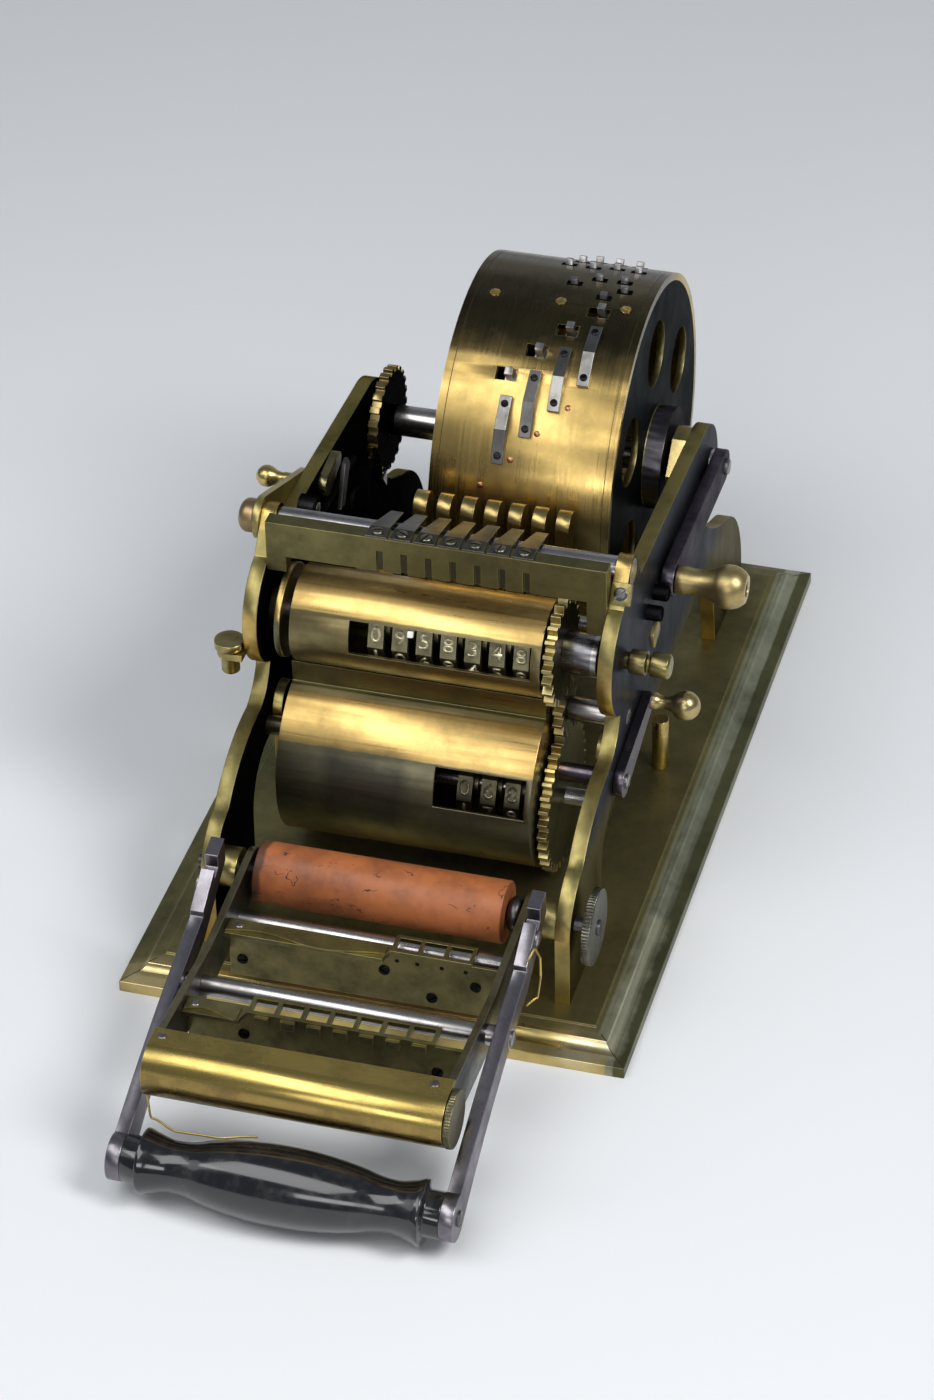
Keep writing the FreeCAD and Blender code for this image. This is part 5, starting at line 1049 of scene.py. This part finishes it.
def wavy_strip(left, right, rear, top, width, waves, count=60):
    """A thin strip: a flat slab whose front edge goes in and out as a sum of two sines."""
    x = np.linspace(left, right, count)
    along = (x - left) / (right - left)
    front = rear - width + LONG_WAVE * np.sin(waves * along * 2 * math.pi) + (
        SHORT_WAVE * np.sin(waves * along * SHORT_WAVE_RATE))
    low = top - STRIP_THICKNESS
    section = np.stack([np.stack(np.broadcast_arrays(x, y, z), axis=1) for y, z in (
        (rear, low), (rear, top), (front, top), (front, low))], axis=1)
    ends = np.repeat(section.mean(axis=1, keepdims=True), 4, axis=1)
    return np.concatenate([ends[:1], section, ends[-1:]]) * MM, "columns"


strip_metal = metal(
    "strip_brass", (0.4, 0.34, 0.15), (0.18, 0.155, 0.07), 0.3, stretch=(30, 900, 900),
    edge=(0.6, 0.52, 0.26))
fitting("short_strip", wavy_strip(-54.0, 9.0, -166.6, 45.9, 6.2, 1.3), strip_metal, "swing")
fitting("long_strip", wavy_strip(-54.0, -33.0, -216.2, 47.9, 6.0, 0.8, 30), strip_metal, "swing")
STRIP_SCREWS = [[-49.4, -169.2, 45.8], [-50.5, -218.6, 47.8]]
screws("strip_screws", STRIP_SCREWS, UPWARD, [[1, 0.4, 0], [0.6, 1, 0]], 1.7, 0.6, grey_steel,
       "swing")

# ------------------------------------------------------------------ feed roller and its guard
# A brass roller with a knurled knob at its right end, under a guard rolled from polished sheet
# that a slotted screw holds at each end.
guard_metal = metal(
    "guard_brass", (0.64, 0.465, 0.135), (0.33, 0.25, 0.08), 0.22, stretch=(15, 700, 700),
    scale=34, amount=0.28, lines=0.16, edge=(0.8, 0.68, 0.34),
    # Lower front faces painted darker brown: painted shade.
    areas=[area((0.36, 0.25, 0.08), (0.18, 0.13, 0.05), facing=(0, -1, -0.25), limit=0.78)])
dress(guard_metal, "round_guard", edge=0.15)
feed_metal = metal(
    "feed_brass", (0.18, 0.16, 0.085), (0.08, 0.072, 0.04), 0.34, edge=(0.4, 0.36, 0.22))
dress(feed_metal, "feed_knob", edge=0.2)
FEED_KNOB = [57.9, -251.6, 44.0]
FEED_KNOB_RIM = [(0.2, 10.2), (0.2, 10.9), (0.5, 11.05), (2.0, 11.05), (2.3, 10.9), (2.3, 10.2)]
fitting("feed_knob_knurling", turned_about(
    FEED_KNOB, TO_RIGHT, FEED_KNOB_RIM, 240, wave=0.13, waves=60), feed_metal, "feed", 20)
GUARD_SCREWS = [[-53.5, -246.8, 54.95], [50.8, -246.8, 54.95]]
screws("guard_screws", GUARD_SCREWS, UPWARD, [[1, 0.4, 0], [0.5, 1, 0]], 1.8, 0.55, grey_steel,
       "swing")

# ------------------------------------------------------------------ handle
# A turned wooden handle, lacquered deep black, between the front ends of the arms, with a thin
# brass wire behind it and a bent brass spring at the right arm.
lacquer, lacquer_tree, lacquer_shader = new_material("black_lacquer", (0.006, 0.006, 0.008), 0.16)
lacquer_shader.inputs["Coat Weight"].default_value = 0.7
lacquer_shader.inputs["Coat Roughness"].default_value = 0.06


def lacquer_finish(tree, shader):
    """Lacquer over wood: roughness and a low bump from grain along the handle, fine scuffs
    lighten the black a little."""
    place = tree.nodes.new("ShaderNodeTexCoord")
    grain = place_group(tree, TOOL_LINES, place.outputs["Object"], Stretch=(30, 500, 500))
    scuff = place_group(tree, TARNISH, place.outputs["Object"], Clean=(0.006, 0.006, 0.008, 1),
                        Dark=(0.030, 0.028, 0.026, 1), Scale=120.0, Amount=0.08)
    tree.links.new(scuff.outputs["Color"], shader.inputs["Base Color"])
    rough = math_step(tree, "MULTIPLY_ADD", grain.outputs["Lines"], 0.12, 0.10)
    tree.links.new(math_step(tree, "MULTIPLY_ADD", scuff.outputs["Mask"], 0.2, rough),
                   shader.inputs["Roughness"])
    add_bump(tree, shader, grain.outputs["Lines"], 0.08, LINE_DEPTH)


lacquer_finish(lacquer_tree, lacquer_shader)
dress(lacquer, "swing_handle", edge=0.3)


def bent_wire(points, radius, count=90, around=8):
    """A round wire: a circle carried along a smooth path, which goes through the given points
    with cosine steps between them."""
    points = np.array(points, dtype=float)
    t = np.linspace(0, len(points) - 1, count)
    whole = np.minimum(t.astype(int), len(points) - 2)
    part = ((1 - np.cos((t - whole) * math.pi)) / 2)[:, None]
    path = points[whole] * (1 - part) + points[whole + 1] * part
    path[:, 0] = np.interp(t, np.arange(len(points)), points[:, 0])
    tangent = unit(np.gradient(path, axis=0))
    side = unit(np.cross(tangent, UPWARD))
    angle = np.linspace(0, 2 * math.pi, around, endpoint=False)
    ring = ring_about(np.cross(side, tangent), side, angle)
    size = np.full(count, radius)
    size[0] = size[-1] = 0
    return (path[:, None] + size[:, None, None] * ring) * MM, "columns"


CATCH_WIRE = [(-57.2, -258.5, 38), (-54, -262, 27.5), (-44, -263.5, 24.5), (-30, -263.5, 25.0),
              (-12.6, -262, 27.5)]
ARM_SPRING = [(66.2, -176.0, 58.5), (68.0, -171.0, 60.5), (68.4, -165.5, 52), (68.4, -164.9, 42.5),
              (68.2, -169.3, 35.0), (66.2, -178.5, 38.5)]
fitting("catch_wire", bent_wire(CATCH_WIRE, radius=0.45), bright_brass, "swing")
fitting("arm_spring", bent_wire(ARM_SPRING, radius=0.5), bright_brass, "swing")

# ------------------------------------------------------------------ levers, posts and thumb screw
# A steel lever with a turned brass grip on the right frame, a brass one on the left, the brass
# stop post on the base and the knurled thumb screw in its lug.
rocker_metal = metal(
    "rocker_steel", (0.16, 0.138, 0.165), (0.068, 0.06, 0.072), 0.28, scale=70,
    edge=(0.42, 0.38, 0.42),
    areas=[area((0.52, 0.42, 0.19), (0.3, 0.24, 0.11), rough=0.28, x=(78.6, WIDE), y=(-50, 0),
                z=(50, 95), soft=0.2)])
dress(rocker_metal, "right_ball_lever", edge=0.25)
ROCKER_SCREW = [78.3, -71.6, 66.5]
screws("rocker_screw", ROCKER_SCREW, TO_RIGHT, [0, 1, 0.5], 3.0, 1.1, grey_steel, "right_lever")
release_metal = metal(
    "release_brass", (0.62, 0.47, 0.175), (0.34, 0.26, 0.1), 0.24, scale=70,
    areas=[area((0.28, 0.24, 0.11), (0.13, 0.11, 0.055), x=(-74.2, WIDE), z=(0, WIDE), soft=0.3)])
dress(release_metal, "left_ball_lever", edge=0.2)
dress(dull_brass, "lever_bracket", "thumb_bracket", edge=0.2)
dress(bright_brass, "stop_post", edge=0.25)
thumb_metal = metal(
    "thumb_brass", (0.4, 0.33, 0.135), (0.19, 0.16, 0.07), 0.28, scale=110,
    edge=(0.68, 0.58, 0.3))
dress(thumb_metal, "thumbscrew", edge=0.35)
